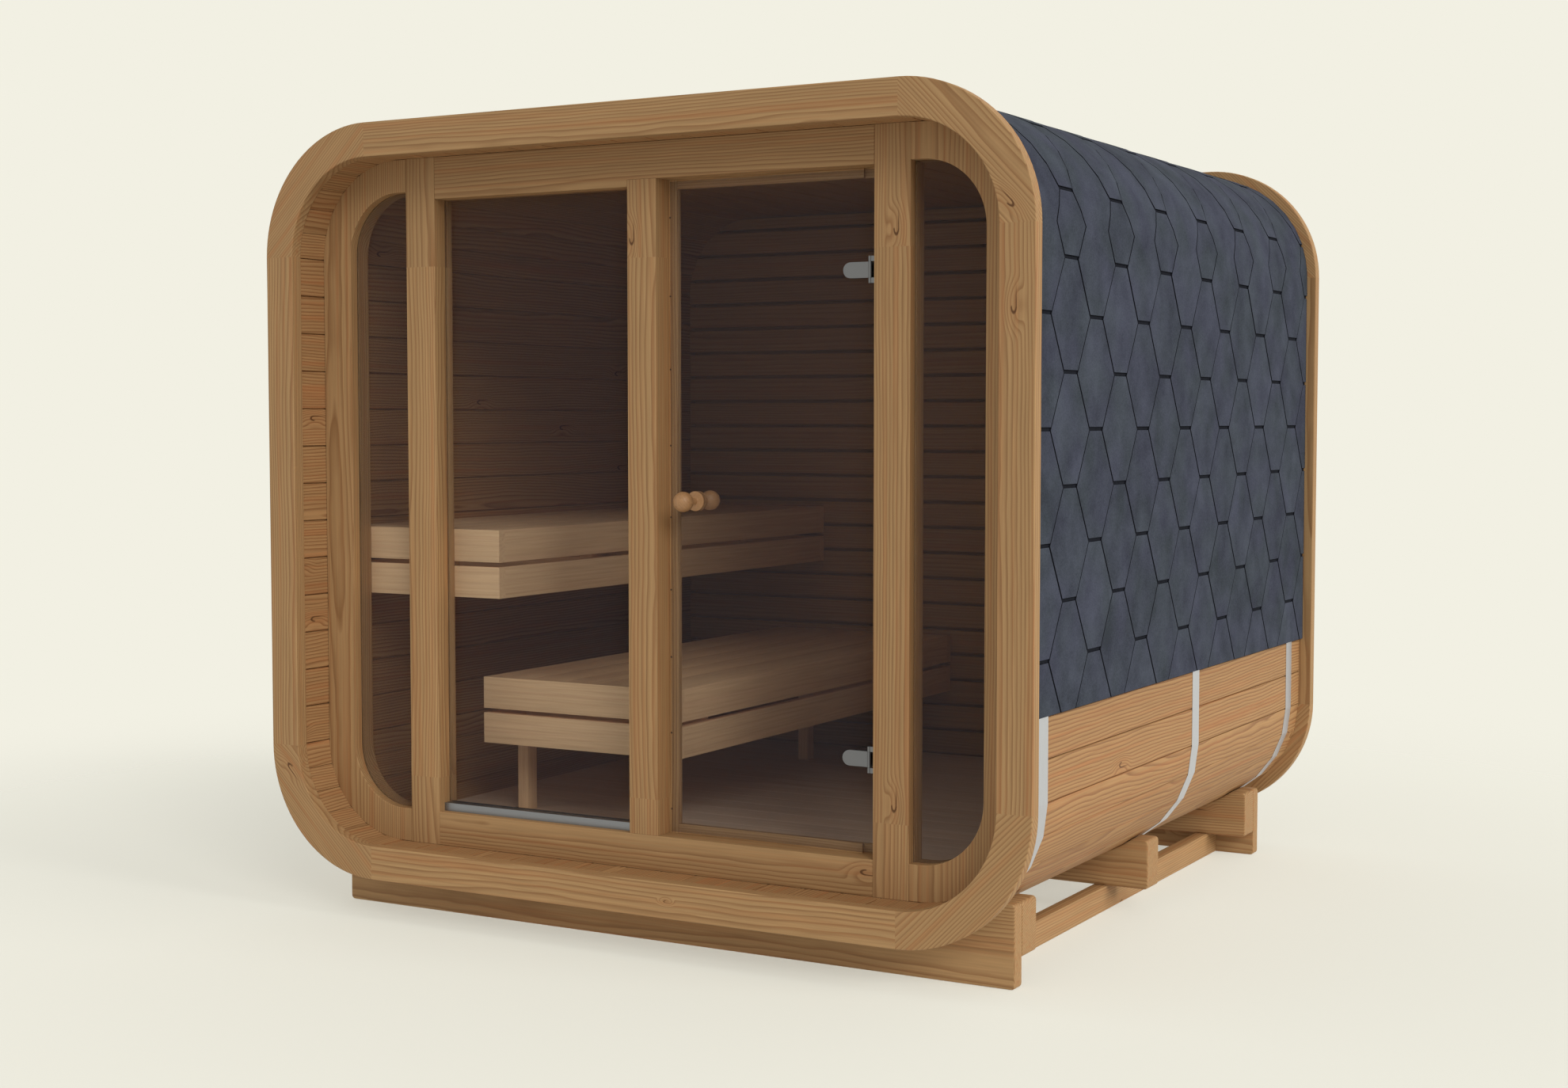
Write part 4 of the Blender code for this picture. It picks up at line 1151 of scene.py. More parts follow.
@dataclass
class Base(Assembly):
    """The timber base: two outer beams, two rails and three cradles cut to the barrel.

    Attributes:
        ease: Radius of the timbers' rounded edges.
        end_round: Radius of a cross timber's rounded ends.
        seat_steps: Segments of the seat that the barrel lies in, on each side.
        seed: Seed of the draws.
    """

    ease: float = 4 * MM
    end_round: float = 10 * MM
    seat_steps: int = 6
    seed: int = 80

    def outline(self, node: str) -> Shape:
        """Outline of a cross timber: flat underneath, its top following the barrel to the shoulders.

        Args:
            node: The timber's node.

        Returns:
            The outline.
        """
        low, high = span(node)
        b = self.barrel
        radius = b.corner - b.inset + SEAT_FIT

        def shape(ease: float) -> Array:
            """Draws the outline in.

            Args:
                ease: How far.

            Returns:
                Points by 2.
            """
            shoulder = high[2] - ease
            drop = math.degrees(math.acos(min(1.0, (b.corner_low - shoulder) / (radius + ease))))
            seat = arc((b.corner_x, b.corner_low), radius + ease, -90, -90 + drop, self.seat_steps)
            outer = np.array([[high[0] - ease, shoulder], [high[0] - ease, low[2] + ease]])
            right = np.concatenate([seat, round_ends(outer, self.end_round)])
            left = right[::-1] * np.array([-1, 1])
            return np.concatenate([right, left])
        return shape

    def build(self) -> None:
        """Makes the beams, cradles and rails."""
        names = ("front_base_beam", "rear_base_beam", "front_cradle", "middle_cradle", "rear_cradle")
        for number, node in enumerate(names):
            low, high = span(node)
            timber = Timber(f"{node}_timber", self.seed + number, (node,))
            timber.plate(self.outline(node), low[1], high[1], self.ease, Plane.XZ, RIGHT, FORWARD)
            timber.build(self.finishes.pine, "glulam")
        for number, node in enumerate(("left_base_rail", "right_base_rail")):
            low, high = span(node)
            rail = Timber(f"{node}_timber", self.seed + 10 + number, (node,))
            rail.box(low, high, self.ease, 1, RIGHT)
            rail.build(self.finishes.pine, "glulam")


def round_ends(corners: Array, radius: float, steps: int = 4) -> Array:
    """Rounds two stacked corners of a timber's end, upper one first.

    Args:
        corners: The upper and the lower corner.
        radius: Radius of both.
        steps: Segments of each.

    Returns:
        Points of the two quarter circles, from the top edge down to the bottom edge.
    """
    x = corners[0, 0] - radius
    upper = arc((x, corners[0, 1] - radius), radius, 90, 0, steps)
    lower = arc((x, corners[1, 1] + radius), radius, 0, -90, steps)
    return np.concatenate([upper, lower])


@dataclass
class FrontWall(Assembly):
    """The recessed wall: posts, cross rails, the boards round the side windows and the door stops.

    Attributes:
        ease: Radius of the timbers' rounded edges.
        window_radius: Radius of a side window's outer corners.
        side_wide: Width of the frame between a side window and the barrel.
        head: Height of the frame over a side window.
        pocket: How deep a pane stands in its timber.
        stop_ease: Radius of the stop strips' edges.
        hinge_room: Width beside the hinge where the stop strips are set back.
        hinge_back: How far they are set back there.
        joints: Heights of the posts' butt joints.
        seed: Seed of the draws.
        arc_steps: Segments of a quarter circle.
    """

    ease: float = 1.6 * MM
    window_radius: float = 0.167
    side_wide: float = 0.097
    head: float = 0.090
    pocket: float = 10 * MM
    stop_ease: float = 1.2 * MM
    hinge_room: float = 47.6 * MM
    hinge_back: float = 8 * MM
    joints: tuple[float, ...] = (0.384, 1.785)
    seed: int = 120
    arc_steps: int = 20

    def build(self) -> None:
        """Makes the wall's pieces."""
        self.posts()
        self.middle_post()
        self.rails()
        for side, word in ((1, "right"), (-1, "left")):
            self.side_frame(word, side)

    def groove(self, pane: str, edge: float, side: int) -> Array:
        """Plan corners of a glazing groove in a post's side face, front to back.

        Args:
            pane: Node of the pane that stands in it.
            edge: X of the side face.
            side: 1 where the groove opens towards +X.

        Returns:
            Four points.
        """
        low, high = span(pane)
        deep = edge - side * (self.pocket + FIT)
        front, back = low[1] - FIT, high[1] + FIT
        return np.array([[edge, front], [deep, front], [deep, back], [edge, back]])

    def posts(self) -> None:
        """The two outer posts, grooved for the panes beside them."""
        panes = {"left_post": "fixed_pane", "right_post": "right_side_pane"}
        for number, (node, pane) in enumerate(panes.items()):
            low, high = span(node)
            groove = self.groove(pane, high[0], 1)
            corners = np.concatenate([
                [[low[0], low[1]], [high[0], low[1]]], groove, [[high[0], high[1]], [low[0], high[1]]],
            ])
            post = Timber(f"{node}_timber", self.seed + number, (node,))
            self.lengths(post, corners, low[2], high[2])
            post.build(self.finishes.pine, "glulam")

    def lengths(self, post: Timber, corners: Array, low: float, high: float) -> None:
        """Adds a post as three lengths, glued end to end just over the sill and under the head.

        Args:
            post: Piece that takes them.
            corners: Plan section.
            low: Foot of the post.
            high: Top of the post.
        """
        for start, end in neighbours((low, *self.joints, high)):
            post.bar(corners, start, end, self.ease, Plane.XY, UP, FORWARD)

    def middle_post(self) -> None:
        """The middle post in its lengths, and the stop strip nailed to it."""
        low, high = span("middle_post")
        right = -low[0]
        groove = self.groove("fixed_pane", low[0], -1)[::-1]
        corners = np.concatenate([
            [[low[0], low[1]], [right, low[1]], [right, high[1]], [low[0], high[1]]], groove,
        ])
        post = Timber("middle_post_timber", self.seed + 4, ("middle_post",))
        self.lengths(post, corners, low[2], high[2])
        stop_front = span("door_pane")[1][1] + STOP_GAP
        post.box((right, stop_front, low[2]), high, self.stop_ease, 2, FORWARD)
        post.build(self.finishes.pine, "glulam")

    def rails(self) -> None:
        """The top and the bottom rail with their stop strips; the top one comes lower over the fixed pane."""
        post_low, post_high = span("middle_post")
        low, high = span("top_rail")
        edge, step, lower = post_high[2] + FIT, post_low[0] - FIT, span("fixed_pane")[1][2] - self.pocket
        corners = np.array([
            [low[0], lower], [step, lower], [step, edge], [high[0], edge],
            [high[0], high[2]], [low[0], high[2]],
        ])

        def outline(ease: float) -> Array:
            """Points of the top rail's outline drawn in by an ease."""
            return corners + ease * np.array([[1, 1], [-1, 1], [-1, 1], [-1, 1], [-1, -1], [1, -1]])

        rail = Timber("top_rail_timber", self.seed + 6, ("top_rail",))
        rail.plate(outline, low[1], high[1], self.ease, Plane.XZ, RIGHT, FORWARD)
        self.stops(rail, low[2], edge, high[1])
        rail.build(self.finishes.pine, "glulam")
        low, high = span("bottom_rail")
        edge = post_low[2] - FIT
        rail = Timber("bottom_rail_timber", self.seed + 7, ("bottom_rail",))
        rail.box(low, (high[0], high[1], edge), self.ease, 0, FORWARD)
        self.stops(rail, edge, high[2], high[1])
        rail.build(self.finishes.pine, "glulam")

    def stops(self, rail: Timber, bottom: float, top: float, back: float) -> None:
        """Adds a rail's stop strip behind the door, and a thinner one beside the hinge.

        Args:
            rail: Piece that takes them.
            bottom: Height of the strips' lower edge.
            top: Height of their upper edge.
            back: Depth of their back.
        """
        left, (_, door) = span("middle_post")[1][0] + FIT, span("door_pane")
        right, front = door[0] - self.hinge_room, door[1] + STOP_GAP
        for x0, x1, y in ((left, right, front), (right, door[0], front + self.hinge_back)):
            rail.box((x0, y, bottom), (x1, back, top), self.stop_ease, 0, FORWARD)

    def side_frame(self, word: str, side: int) -> None:
        """The boards round one side window, glued upright, with the pane's pocket inside.

        Args:
            word: Side of the cabin in a word.
            side: 1 on the right and -1 on the left.
        """
        b = self.barrel
        node = f"{word}_side_frame"
        low, high = span(node)
        near = low[0] if side > 0 else -high[0]
        far = max(abs(low[0]), abs(high[0]))
        window_low = span("middle_post")[0][2] - FIT
        window_high = high[2] - self.head + SEAT_FIT

        def outline(ease: float, pocket: float) -> Array:
            """Draws the boards' outline in, or widens the window by its pocket.

            Args:
                ease: How far it is drawn in.
                pocket: How far the window is widened.

            Returns:
                Points by 2.
            """
            radius = b.corner - (b.half - far + ease)
            outer = np.concatenate([
                arc((b.corner_x, b.corner_low), radius, -90, 0, self.arc_steps),
                arc((b.corner_x, b.corner_high), radius, 0, 90, self.arc_steps),
            ])
            reach = far - self.side_wide + ease + pocket
            round_off = self.window_radius + ease + pocket
            bottom, top = window_low - ease - pocket, window_high + ease + pocket
            inner = np.concatenate([
                arc((reach - round_off, bottom + round_off), round_off, -90, 0, self.arc_steps),
                arc((reach - round_off, top - round_off), round_off, 0, 90, self.arc_steps),
            ])[::-1]
            ends = np.array([[near, high[2] - ease], [near, top]])
            feet = np.array([[near, bottom], [near, low[2] + ease]])
            points = np.concatenate([outer, ends, inner, feet])
            return points * np.array([side, 1])

        pane_low, pane_high = span(f"{word}_side_pane")
        depth, inset = quarter_round(self.ease)
        front, back = pane_low[1] - FIT, pane_high[1] + FIT
        levels = np.concatenate([low[1] + depth, [front, front, back, back], (high[1] - depth)[::-1]])
        pockets = [0.0, self.pocket, self.pocket, 0.0]
        outlines = [outline(value, 0.0) for value in inset]
        outlines += [outline(0.0, value) for value in pockets]
        outlines += [outline(value, 0.0) for value in inset[::-1]]
        boards = Timber(f"{node}_boards", self.seed + 13 + int(side < 0), (node,))
        boards.stack(np.stack(outlines), levels, Plane.XZ, UP, FORWARD)
        boards.build(self.finishes.pine, "glulam")


@dataclass
class Interior(Assembly):
    """The boarded back wall, the floor and the two benches.

    Attributes:
        wall_board: Height of a board of the back wall, with its joint.
        wall_slot: Half the width of the open joint between two of them.
        wall_deep: Depth of that joint from each face.
        wall_ease: Radius of their edges.
        wall_short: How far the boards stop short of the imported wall's foot and top.
        floor_boards: Boards in the floor.
        floor_ease: Radius of their edges.
        open: Half the gap between two boards of the floor or a seat.
        bench_board: Thickness of the benches' boards.
        bench_low: Height of a bench frame's rim.
        bearer: Width of a bearer.
        upright: Width of an upright under a seat.
        seat_boards: Boards in a seat.
        seat_ease: Radius of their edges.
        rim_ease: Radius of the edges of rims, bearers and uprights.
        leg_ease: Radius of a leg's edges.
        seed: Seed of the draws.
    """

    wall_board: float = 0.0855
    wall_slot: float = 5 * MM
    wall_deep: float = 33 * MM
    wall_ease: float = 2.5 * MM
    wall_short: float = 1 * MM
    floor_boards: int = 18
    floor_ease: float = 1.4 * MM
    open: float = 0.2 * MM
    bench_board: float = 28 * MM
    bench_low: float = 86 * MM
    bearer: float = 36 * MM
    upright: float = 45 * MM
    seat_boards: int = 5
    seat_ease: float = 1 * MM
    rim_ease: float = 1.2 * MM
    leg_ease: float = 2.2 * MM
    seed: int = 200

    def build(self) -> None:
        """Makes everything inside."""
        self.back_wall()
        self.floor()
        for number, bench in enumerate(Bench):
            self.seat(bench, number)
            self.frame(bench, number)
        for number, node in enumerate(("near_bench_leg", "far_bench_leg")):
            leg = Timber(f"{node}_timber", self.seed + 30 + number, (node,))
            leg.box(*span(node), self.leg_ease, 2, FORWARD)
            leg.build(self.finishes.bench, "interior_wood")

    def back_wall(self) -> None:
        """Level boards from side to side, each with eased edges on both faces.

        The boards meet behind their open joints, as tongues do, so no daylight shows through.
        """
        low, high = span("back_wall")
        inset = self.barrel.half - high[0]
        least = self.wall_board / 3
        joints = np.arange(span("floor_boards")[1][2], high[2] - least, self.wall_board)
        wall = Timber("back_wall_boards", self.seed, ("back_wall",))
        for z0, z1 in neighbours([low[2] + self.wall_short, *joints, high[2] - self.wall_short]):
            shape = self.barrel.board(z0, z1, inset)
            wall.plate(shape, low[1], high[1], self.wall_ease, Plane.XZ, RIGHT, FORWARD,
                       self.wall_slot, self.wall_deep)
        wall.build(self.finishes.wall, "staves")

    def floor(self) -> None:
        """Boards laid from side to side, their ends cut to the round of the staves."""
        low, high = span("floor_boards")
        shape = self.barrel.board(low[2], high[2], self.barrel.inset + self.barrel.thick + SEAT_FIT)
        floor = Timber("floor_boards_laid", self.seed + 1, ("floor_boards",))
        for start, end in neighbours(np.linspace(low[1], high[1], self.floor_boards + 1)):
            floor.plate(shape, start + self.open, end - self.open, self.floor_ease, Plane.XZ, RIGHT, UP)
        floor.build(self.finishes.floor, "interior_wood")

    def seat(self, bench: Bench, number: int) -> None:
        """A bench's seat: lengthwise boards inside a rim of edge boards.

        Args:
            bench: The bench.
            number: Its number, for its seed.
        """
        node = f"{bench.name.lower()}_bench_seat"
        low, high = span(node)
        seat = Timber(f"{node}_boards", self.seed + 10 + number, (node,))
        self.rim(seat, low, high)
        t = self.bench_board
        for start, end in neighbours(np.linspace(low[0] + t, high[0] - t, self.seat_boards + 1)):
            seat.box((start + self.open, low[1] + t, high[2] - t), (end - self.open, high[1] - t, high[2]),
                     self.seat_ease, 1, UP)
        seat.build(self.finishes.bench, "interior_wood")

    def rim(self, timber: Timber, low: Array, high: Array) -> None:
        """Four edge boards round a bench: the end ones run from side to side between the long ones' ends.

        Args:
            timber: Piece that takes the boards.
            low: Lowest corner of the rim.
            high: Highest corner of the rim.
        """
        t = self.bench_board
        for y0, y1, face in ((low[1], low[1] + t, -1), (high[1] - t, high[1], 1)):
            timber.box((low[0], y0, low[2]), (high[0], y1, high[2]), self.rim_ease, 0, (0, face, 0))
        for x0, x1, face in ((low[0], low[0] + t, -1), (high[0] - t, high[0], 1)):
            timber.box((x0, low[1] + t, low[2]), (x1, high[1] - t, high[2]), self.rim_ease, 1, (face, 0, 0))

    def frame(self, bench: Bench, number: int) -> None:
        """A bench's frame: a rim of boards, two bearers across it and four uprights under the seat.

        Args:
            bench: The bench.
            number: Its number, for its seed.
        """
        node = f"{bench.name.lower()}_bench_frame"
        low, high = span(node)
        rim_top = low[2] + self.bench_low
        timber = Timber(f"{node}_boards", self.seed + 20 + number, (node,))
        self.rim(timber, low, np.array([high[0], high[1], rim_top]))
        left, right = low[0] + self.bench_board, high[0] - self.bench_board
        near_in, far_in = bench.value
        for near in (low[1] + near_in, high[1] - far_in):
            far = near + self.bearer
            timber.box((left, near, low[2]), (right, far, rim_top), self.rim_ease, 0, FORWARD)
            for x in (left, right - self.upright):
                timber.box((x, near, rim_top), (x + self.upright, far, high[2]), self.rim_ease, 2, FORWARD)
        timber.build(self.finishes.bench, "interior_wood")


@dataclass
class Shells:
    """Collects thin closed sheets into one piece: the outer face in one finish, and the cut edges plus the
    outer face's first and last columns in another, painted seam shade.

    Attributes:
        random: Random draws of the piece.
    """

    random: np.random.Generator
    points: list[Array] = field(default_factory=list)
    quads: list[Array] = field(default_factory=list)
    bare_and_shade: list[Array] = field(default_factory=list)
    tone: list[Array] = field(default_factory=list)
    count: int = 0

    def add(self, top: Array, under: Array, side: int) -> None:
        """Closes two grids of the same size into one thin body.

        Args:
            top: Rows by columns by 3, the outer face.
            under: The inner face.
            side: 1 or -1, which turns the faces outward on a mirrored slope.
        """
        rows, columns = top.shape[:2]
        index = np.arange(rows * columns).reshape(rows, columns)
        face = np.stack([index[:-1, :-1], index[:-1, 1:], index[1:, 1:], index[1:, :-1]], -1).reshape(-1, 4)
        base = rows * columns
        edge = np.concatenate([index[0, :-1], index[:-1, -1], index[-1, :0:-1], index[:0:-1, 0]])
        after = np.roll(edge, -1)
        skirt = np.stack([after, edge, edge + base, after + base], -1)
        quads = np.concatenate([face, face[:, ::-1] + base, skirt])[:, ::side]
        self.points += [top.reshape(-1, 3), under.reshape(-1, 3)]
        self.quads.append(quads + self.count)
        column = np.arange(len(quads)) % (columns - 1)
        # Skirts are the cut edges; the outer face's first and last columns take the dark finish too, as
        # painted shade along the seams.
        self.bare_and_shade.append((np.arange(len(quads)) >= len(face)) | (column == 0) | (column == columns - 2))
        self.tone.append(np.full(2 * base, self.random.uniform()))
        self.count += 2 * base

    def build(self, name: str, materials: Sequence[Material], slot: str, node: str, smooth: float) -> None:
        """Makes the piece.

        Args:
            name: Name of the piece.
            materials: Finish of the outer faces and finish of the rest.
            slot: The record's material slot.
            node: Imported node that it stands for.
            smooth: Edges flatter than this many degrees are shaded smooth.
        """
        mesh = bpy.data.meshes.new(name)
        mesh.from_pydata(np.concatenate(self.points).tolist(), [], np.concatenate(self.quads).tolist())
        mesh.polygons.foreach_set("material_index", np.concatenate(self.bare_and_shade).astype(np.int32))
        shade = mesh.attributes.new("tone", "FLOAT", "POINT")
        shade.data.foreach_set("value", np.concatenate(self.tone).astype(np.float32))
        place_piece(name, mesh, materials, slot, Body.CABIN, (node,), smooth)


@dataclass
class ShingleCover(Assembly):
    """Hexagonal felt tabs laid in rows from each eave to the ridge, on a dark underlay.

    Each tab shows as a hexagon two rows high. Its flat foot lies on the tabs of the row below, with a gap
    under it where the near-black underlay paints its shadow, and every second row is shifted by half a tab's
    pitch.

    Attributes:
        node: The cover's node.
        pitch: Distance of two tabs in a row.
        columns: Number of a row's first tab, and of the one after its last.
        exposure: Way up from one row to the next on the wall.
        roof_exposure: The same on the bend and the roof.
        foot: Width of a tab's flat foot.
        slot: Height of the gap under a foot, where the dark underlay paints the foot's shadow.
        seam: Half the seam between two tabs.
        rim: Width of the strip round a tab's face in the dark finish, painted shade along the seams.
        bend_foot: Way up of the foot of the bend's own row.
        bend_wide: Half the width of a tab of row 1, which is slimmer.
        thick: Thickness of the felt.
        face_inset: How far the tabs' face lies inside the rings' outline.
        rise: How much lower a tab's top lies than its foot.
        drop: How much lower than its neighbours a tab may lie.
        step: Longest segment on the bend.
        least: Shortest piece of a tab that is laid.
        least_wide: Narrowest one.
        near: How close to a cut a tab's corner may be.
        row_height: Height of the foot of row 0, which was measured.
        row_depth: Depth of its tab number 0 from the front, at the tab's middle.
        ridge_wide: How far a ridge cap reaches down each slope.
        cap: Depth of one ridge cap with its seam.
        least_cap: Shortest ridge cap.
        back: How far the underlay's back lies under the tabs' face.
        bend_steps: Segments of the underlay on a bend.
        smooth: Edges flatter than this many degrees are shaded smooth.
        seed: Seed of the draws.
    """

    node: str = "shingle_cover"
    pitch: float = 0.3306
    columns: tuple[int, int] = (-1, 8)
    exposure: float = 0.1358
    roof_exposure: float = 0.1335
    foot: float = 0.083
    slot: float = 8 * MM
    seam: float = 1.6 * MM
    rim: float = 1.8 * MM
    bend_foot: float = 1.242
    bend_wide: float = 0.091
    thick: float = 3.2 * MM
    face_inset: float = 0.0272
    rise: float = 1.2 * MM
    drop: float = 0.4 * MM
    step: float = 0.060
    least: float = 5 * MM
    least_wide: float = 4.5 * MM
    near: float = 2 * MM
    row_height: float = 1.6153
    row_depth: float = 0.1164
    ridge_wide: float = 0.120
    cap: float = 0.16296
    least_cap: float = 10 * MM
    back: float = 8.4 * MM
    bend_steps: int = 24
    smooth: float = 25.0
    seed: int = 300

    def __post_init__(self) -> None:
        """Works out the way up: where the wall ends, where the bend ends, and its length to the ridge."""
        self.low, self.high = span(self.node)
        self.eave = self.low[2]
        self.straight = self.barrel.corner_high - self.eave
        self.radius = self.barrel.corner - self.face_inset
        self.bent = self.straight + self.radius * math.pi / 2
        self.length = self.bent + self.barrel.corner_x

    def build(self) -> None:
        """Makes the tabs, the ridge caps and the underlay."""
        self.underlay()
        self.tabs()

    def surface(self, s: Array, y: Array, lift: Array, side: int) -> Array:
        """Points of the cover, by the way up from the eave and the depth.

        The way is straight up the wall, then a quarter circle, then level along the roof; the
        lift moves a point along the outward normal of that path.

        Args:
            s: Way from the eave.
            y: Depth.
            lift: Height over the tabs' top face, negative inwards.
            side: 1 for the right slope and -1 for the left one.

        Returns:
            Points by 3.
        """
        angle = np.clip((s - self.straight) / self.radius, 0, math.pi / 2)
        radius = self.radius + lift
        x = self.barrel.corner_x + radius * np.cos(angle)
        z = self.barrel.corner_high + radius * np.sin(angle)
        z = z - np.maximum(self.straight - s, 0)
        x = x - np.maximum(s - self.bent, 0)
        return np.stack([side * x, y, z], -1)

    def underlay(self) -> None:
        """The near-black sheet under the tabs; where it shows in the slots and the seams it paints their
        shade.
        """
        bend = np.linspace(self.straight, self.bent, self.bend_steps + 1)
        s = np.concatenate([[0.0], bend, [self.length]])
        way = np.concatenate([s, s[::-1][1:]])
        sides = np.concatenate([np.ones(len(s)), -np.ones(len(s) - 1)])
        rows = []
        for lift in (-self.thick - self.rise, -self.back):
            points = self.surface(way, np.zeros(len(way)), np.full(len(way), lift), 1)
            points[:, 0] *= sides
            rows.append(points[:, [0, 2]])
        outline = np.concatenate([rows[0], rows[1][::-1]])
        sheet = Timber("shingle_underlay", self.seed, ())
        levels = np.array([self.low[1], self.high[1]])
        sheet.stack(np.stack([outline, outline]), levels, Plane.XZ, INWARD, UP)
        sheet.build(self.finishes.bitumen, "shingle")

    def tabs(self) -> None:
        """All the tabs of both slopes, as one piece."""
        first = self.row_height - self.eave
        under = math.ceil(first / self.exposure) + 1
        over = math.ceil((self.length - first) / self.roof_exposure)
        cover = Shells(np.random.default_rng(self.seed))
        for side in (1, -1):
            for row in range(-under, over + 1):
                stations = self.stations(row, first)
                shift = self.row_depth + (row % 2) * self.pitch / 2
                for middle in self.barrel.front + shift + self.pitch * np.arange(*self.columns):
                    self.tab(cover, stations, middle, side)
        self.caps(cover)
        felt = (self.finishes.felt, self.finishes.bitumen)
        cover.build("shingle_tabs", felt, "shingle", self.node, self.smooth)

    def way(self, row: int, first: float) -> float:
        """Way up of a row's foot: the rows over row 1, on the bend and the roof, lie a little closer."""
        return first + self.exposure * min(row, 1) + self.roof_exposure * max(row - 1, 0)

    def stations(self, row: int, first: float) -> Array:
        """Way up and half width of a tab at each of its corners, from the foot to the top.

        A tab's half width grows from half the foot to its widest one row up, and shrinks again
        over the next row. On the bend two rows are laid as one: row 1 is slim and ends at the
        bend's own row, which stands in for row 3, and row 0 runs on between them up to row 4.

        Args:
            row: Number of the row, 0 at the measured one.
            first: Way up of row 0.

        Returns:
            Corners by 2; none for a row that the bend leaves out.
        """
        thin, broad = self.foot / 2, (self.pitch - self.foot) / 2
        feet = np.array([self.way(row + up, first) for up in range(3)])
        if row == 0:
            widths = [thin, broad, self.pitch / 2 - self.bend_wide, broad, thin]
            ways = [feet[0], feet[1], (feet[1] + self.bend_foot) / 2, self.bend_foot, self.way(4, first)]
            return np.stack([ways, widths], -1)
        if row == 1:
            ways = [feet[0], (feet[0] + self.bend_foot) / 2, self.bend_foot]
            return np.stack([ways, [thin, self.bend_wide, thin]], -1)
        if row == 2:
            return np.zeros((0, 2))
        if row == 3:
            feet[0] = self.bend_foot
        return np.stack([feet, [thin, broad, thin]], -1)

    def tab(self, cover: Shells, stations: Array, middle: float, side: int) -> None:
        """Adds one tab as a closed sheet, where any of it is on the cover.

        Args:
            cover: Piece that takes it.
            stations: Way up and half width at each of its corners.
            middle: Depth of its middle.
            side: 1 for the right slope and -1 for the left one.
        """
        if not len(stations):
            return
        foot = stations[0, 0]
        start = max(foot + self.slot, 0.0)
        end = min(stations[-1, 0] - self.seam, self.length - self.ridge_wide - 2 * self.seam)
        if end - start < self.least:
            return
        corners = stations[1:-1, 0]
        corners = corners[(corners > start + self.near) & (corners < end - self.near)]
        marks = neighbours([start, *corners, end])
        parts = [np.linspace(a, b, self.segments(a, b) + 1)[:-1] for a, b in marks]
        s = np.append(np.concatenate(parts), end)
        wide = np.interp(s, stations[:, 0], stations[:, 1]) - self.seam
        left, right = np.maximum(middle - wide, self.low[1]), np.minimum(middle + wide, self.high[1])
        keep = right - left > self.least_wide
        if keep.sum() > 1:
            s, left, right = s[keep], left[keep], right[keep]
            lift = -cover.random.uniform(0, self.drop) - self.rise * (s - foot) / (stations[-1, 0] - foot)
            # Each tab's outer strips take the dark finish: painted shade along the seams.
            self.sheet(cover, s, np.stack([left, left + self.rim, right - self.rim, right], -1), lift, side)

    def segments(self, start: float, end: float) -> int:
        """Number of segments for a stretch of the way up: one where it is straight."""
        return max(1, math.ceil((min(end, self.bent) - max(start, self.straight)) / self.step))

    def sheet(self, cover: Shells, s: Array, y: Array, lift: Array, side: int) -> None:
        """Adds one sheet of felt with its outer face at the given places.

        Args:
            cover: Piece that takes it.
            s: Way up of each row of points.
            y: Depths of the points, rows by columns, the outer columns being the rims in the dark finish,
                painted seam shade.
            lift: Height of each row over the cover's face.
            side: 1 for the right slope and -1 for the left one.
        """
        way, up = (np.broadcast_to(values[:, None], y.shape) for values in (s, lift))
        cover.add(self.surface(way, y, up, side), self.surface(way, y, up - self.thick, side), side)

    def caps(self, cover: Shells) -> None:
        """Adds the ridge caps: strips across the ridge, laid edge to edge from front to back.

        The way up runs on past the ridge, so a cap covers both slopes. A seam twice as wide as
        the tabs' own parts the caps from the tabs.

        Args:
            cover: Piece that takes them.
        """
        s = self.length + np.linspace(-self.ridge_wide, self.ridge_wide, 3)
        for start in np.arange(self.low[1], self.high[1] - self.least_cap, self.cap):
            end = min(start + self.cap - self.seam, self.high[1])
            y = np.tile([start, start + self.rim, end - self.rim, end], (3, 1))
            self.sheet(cover, s, y, np.zeros(3), 1)


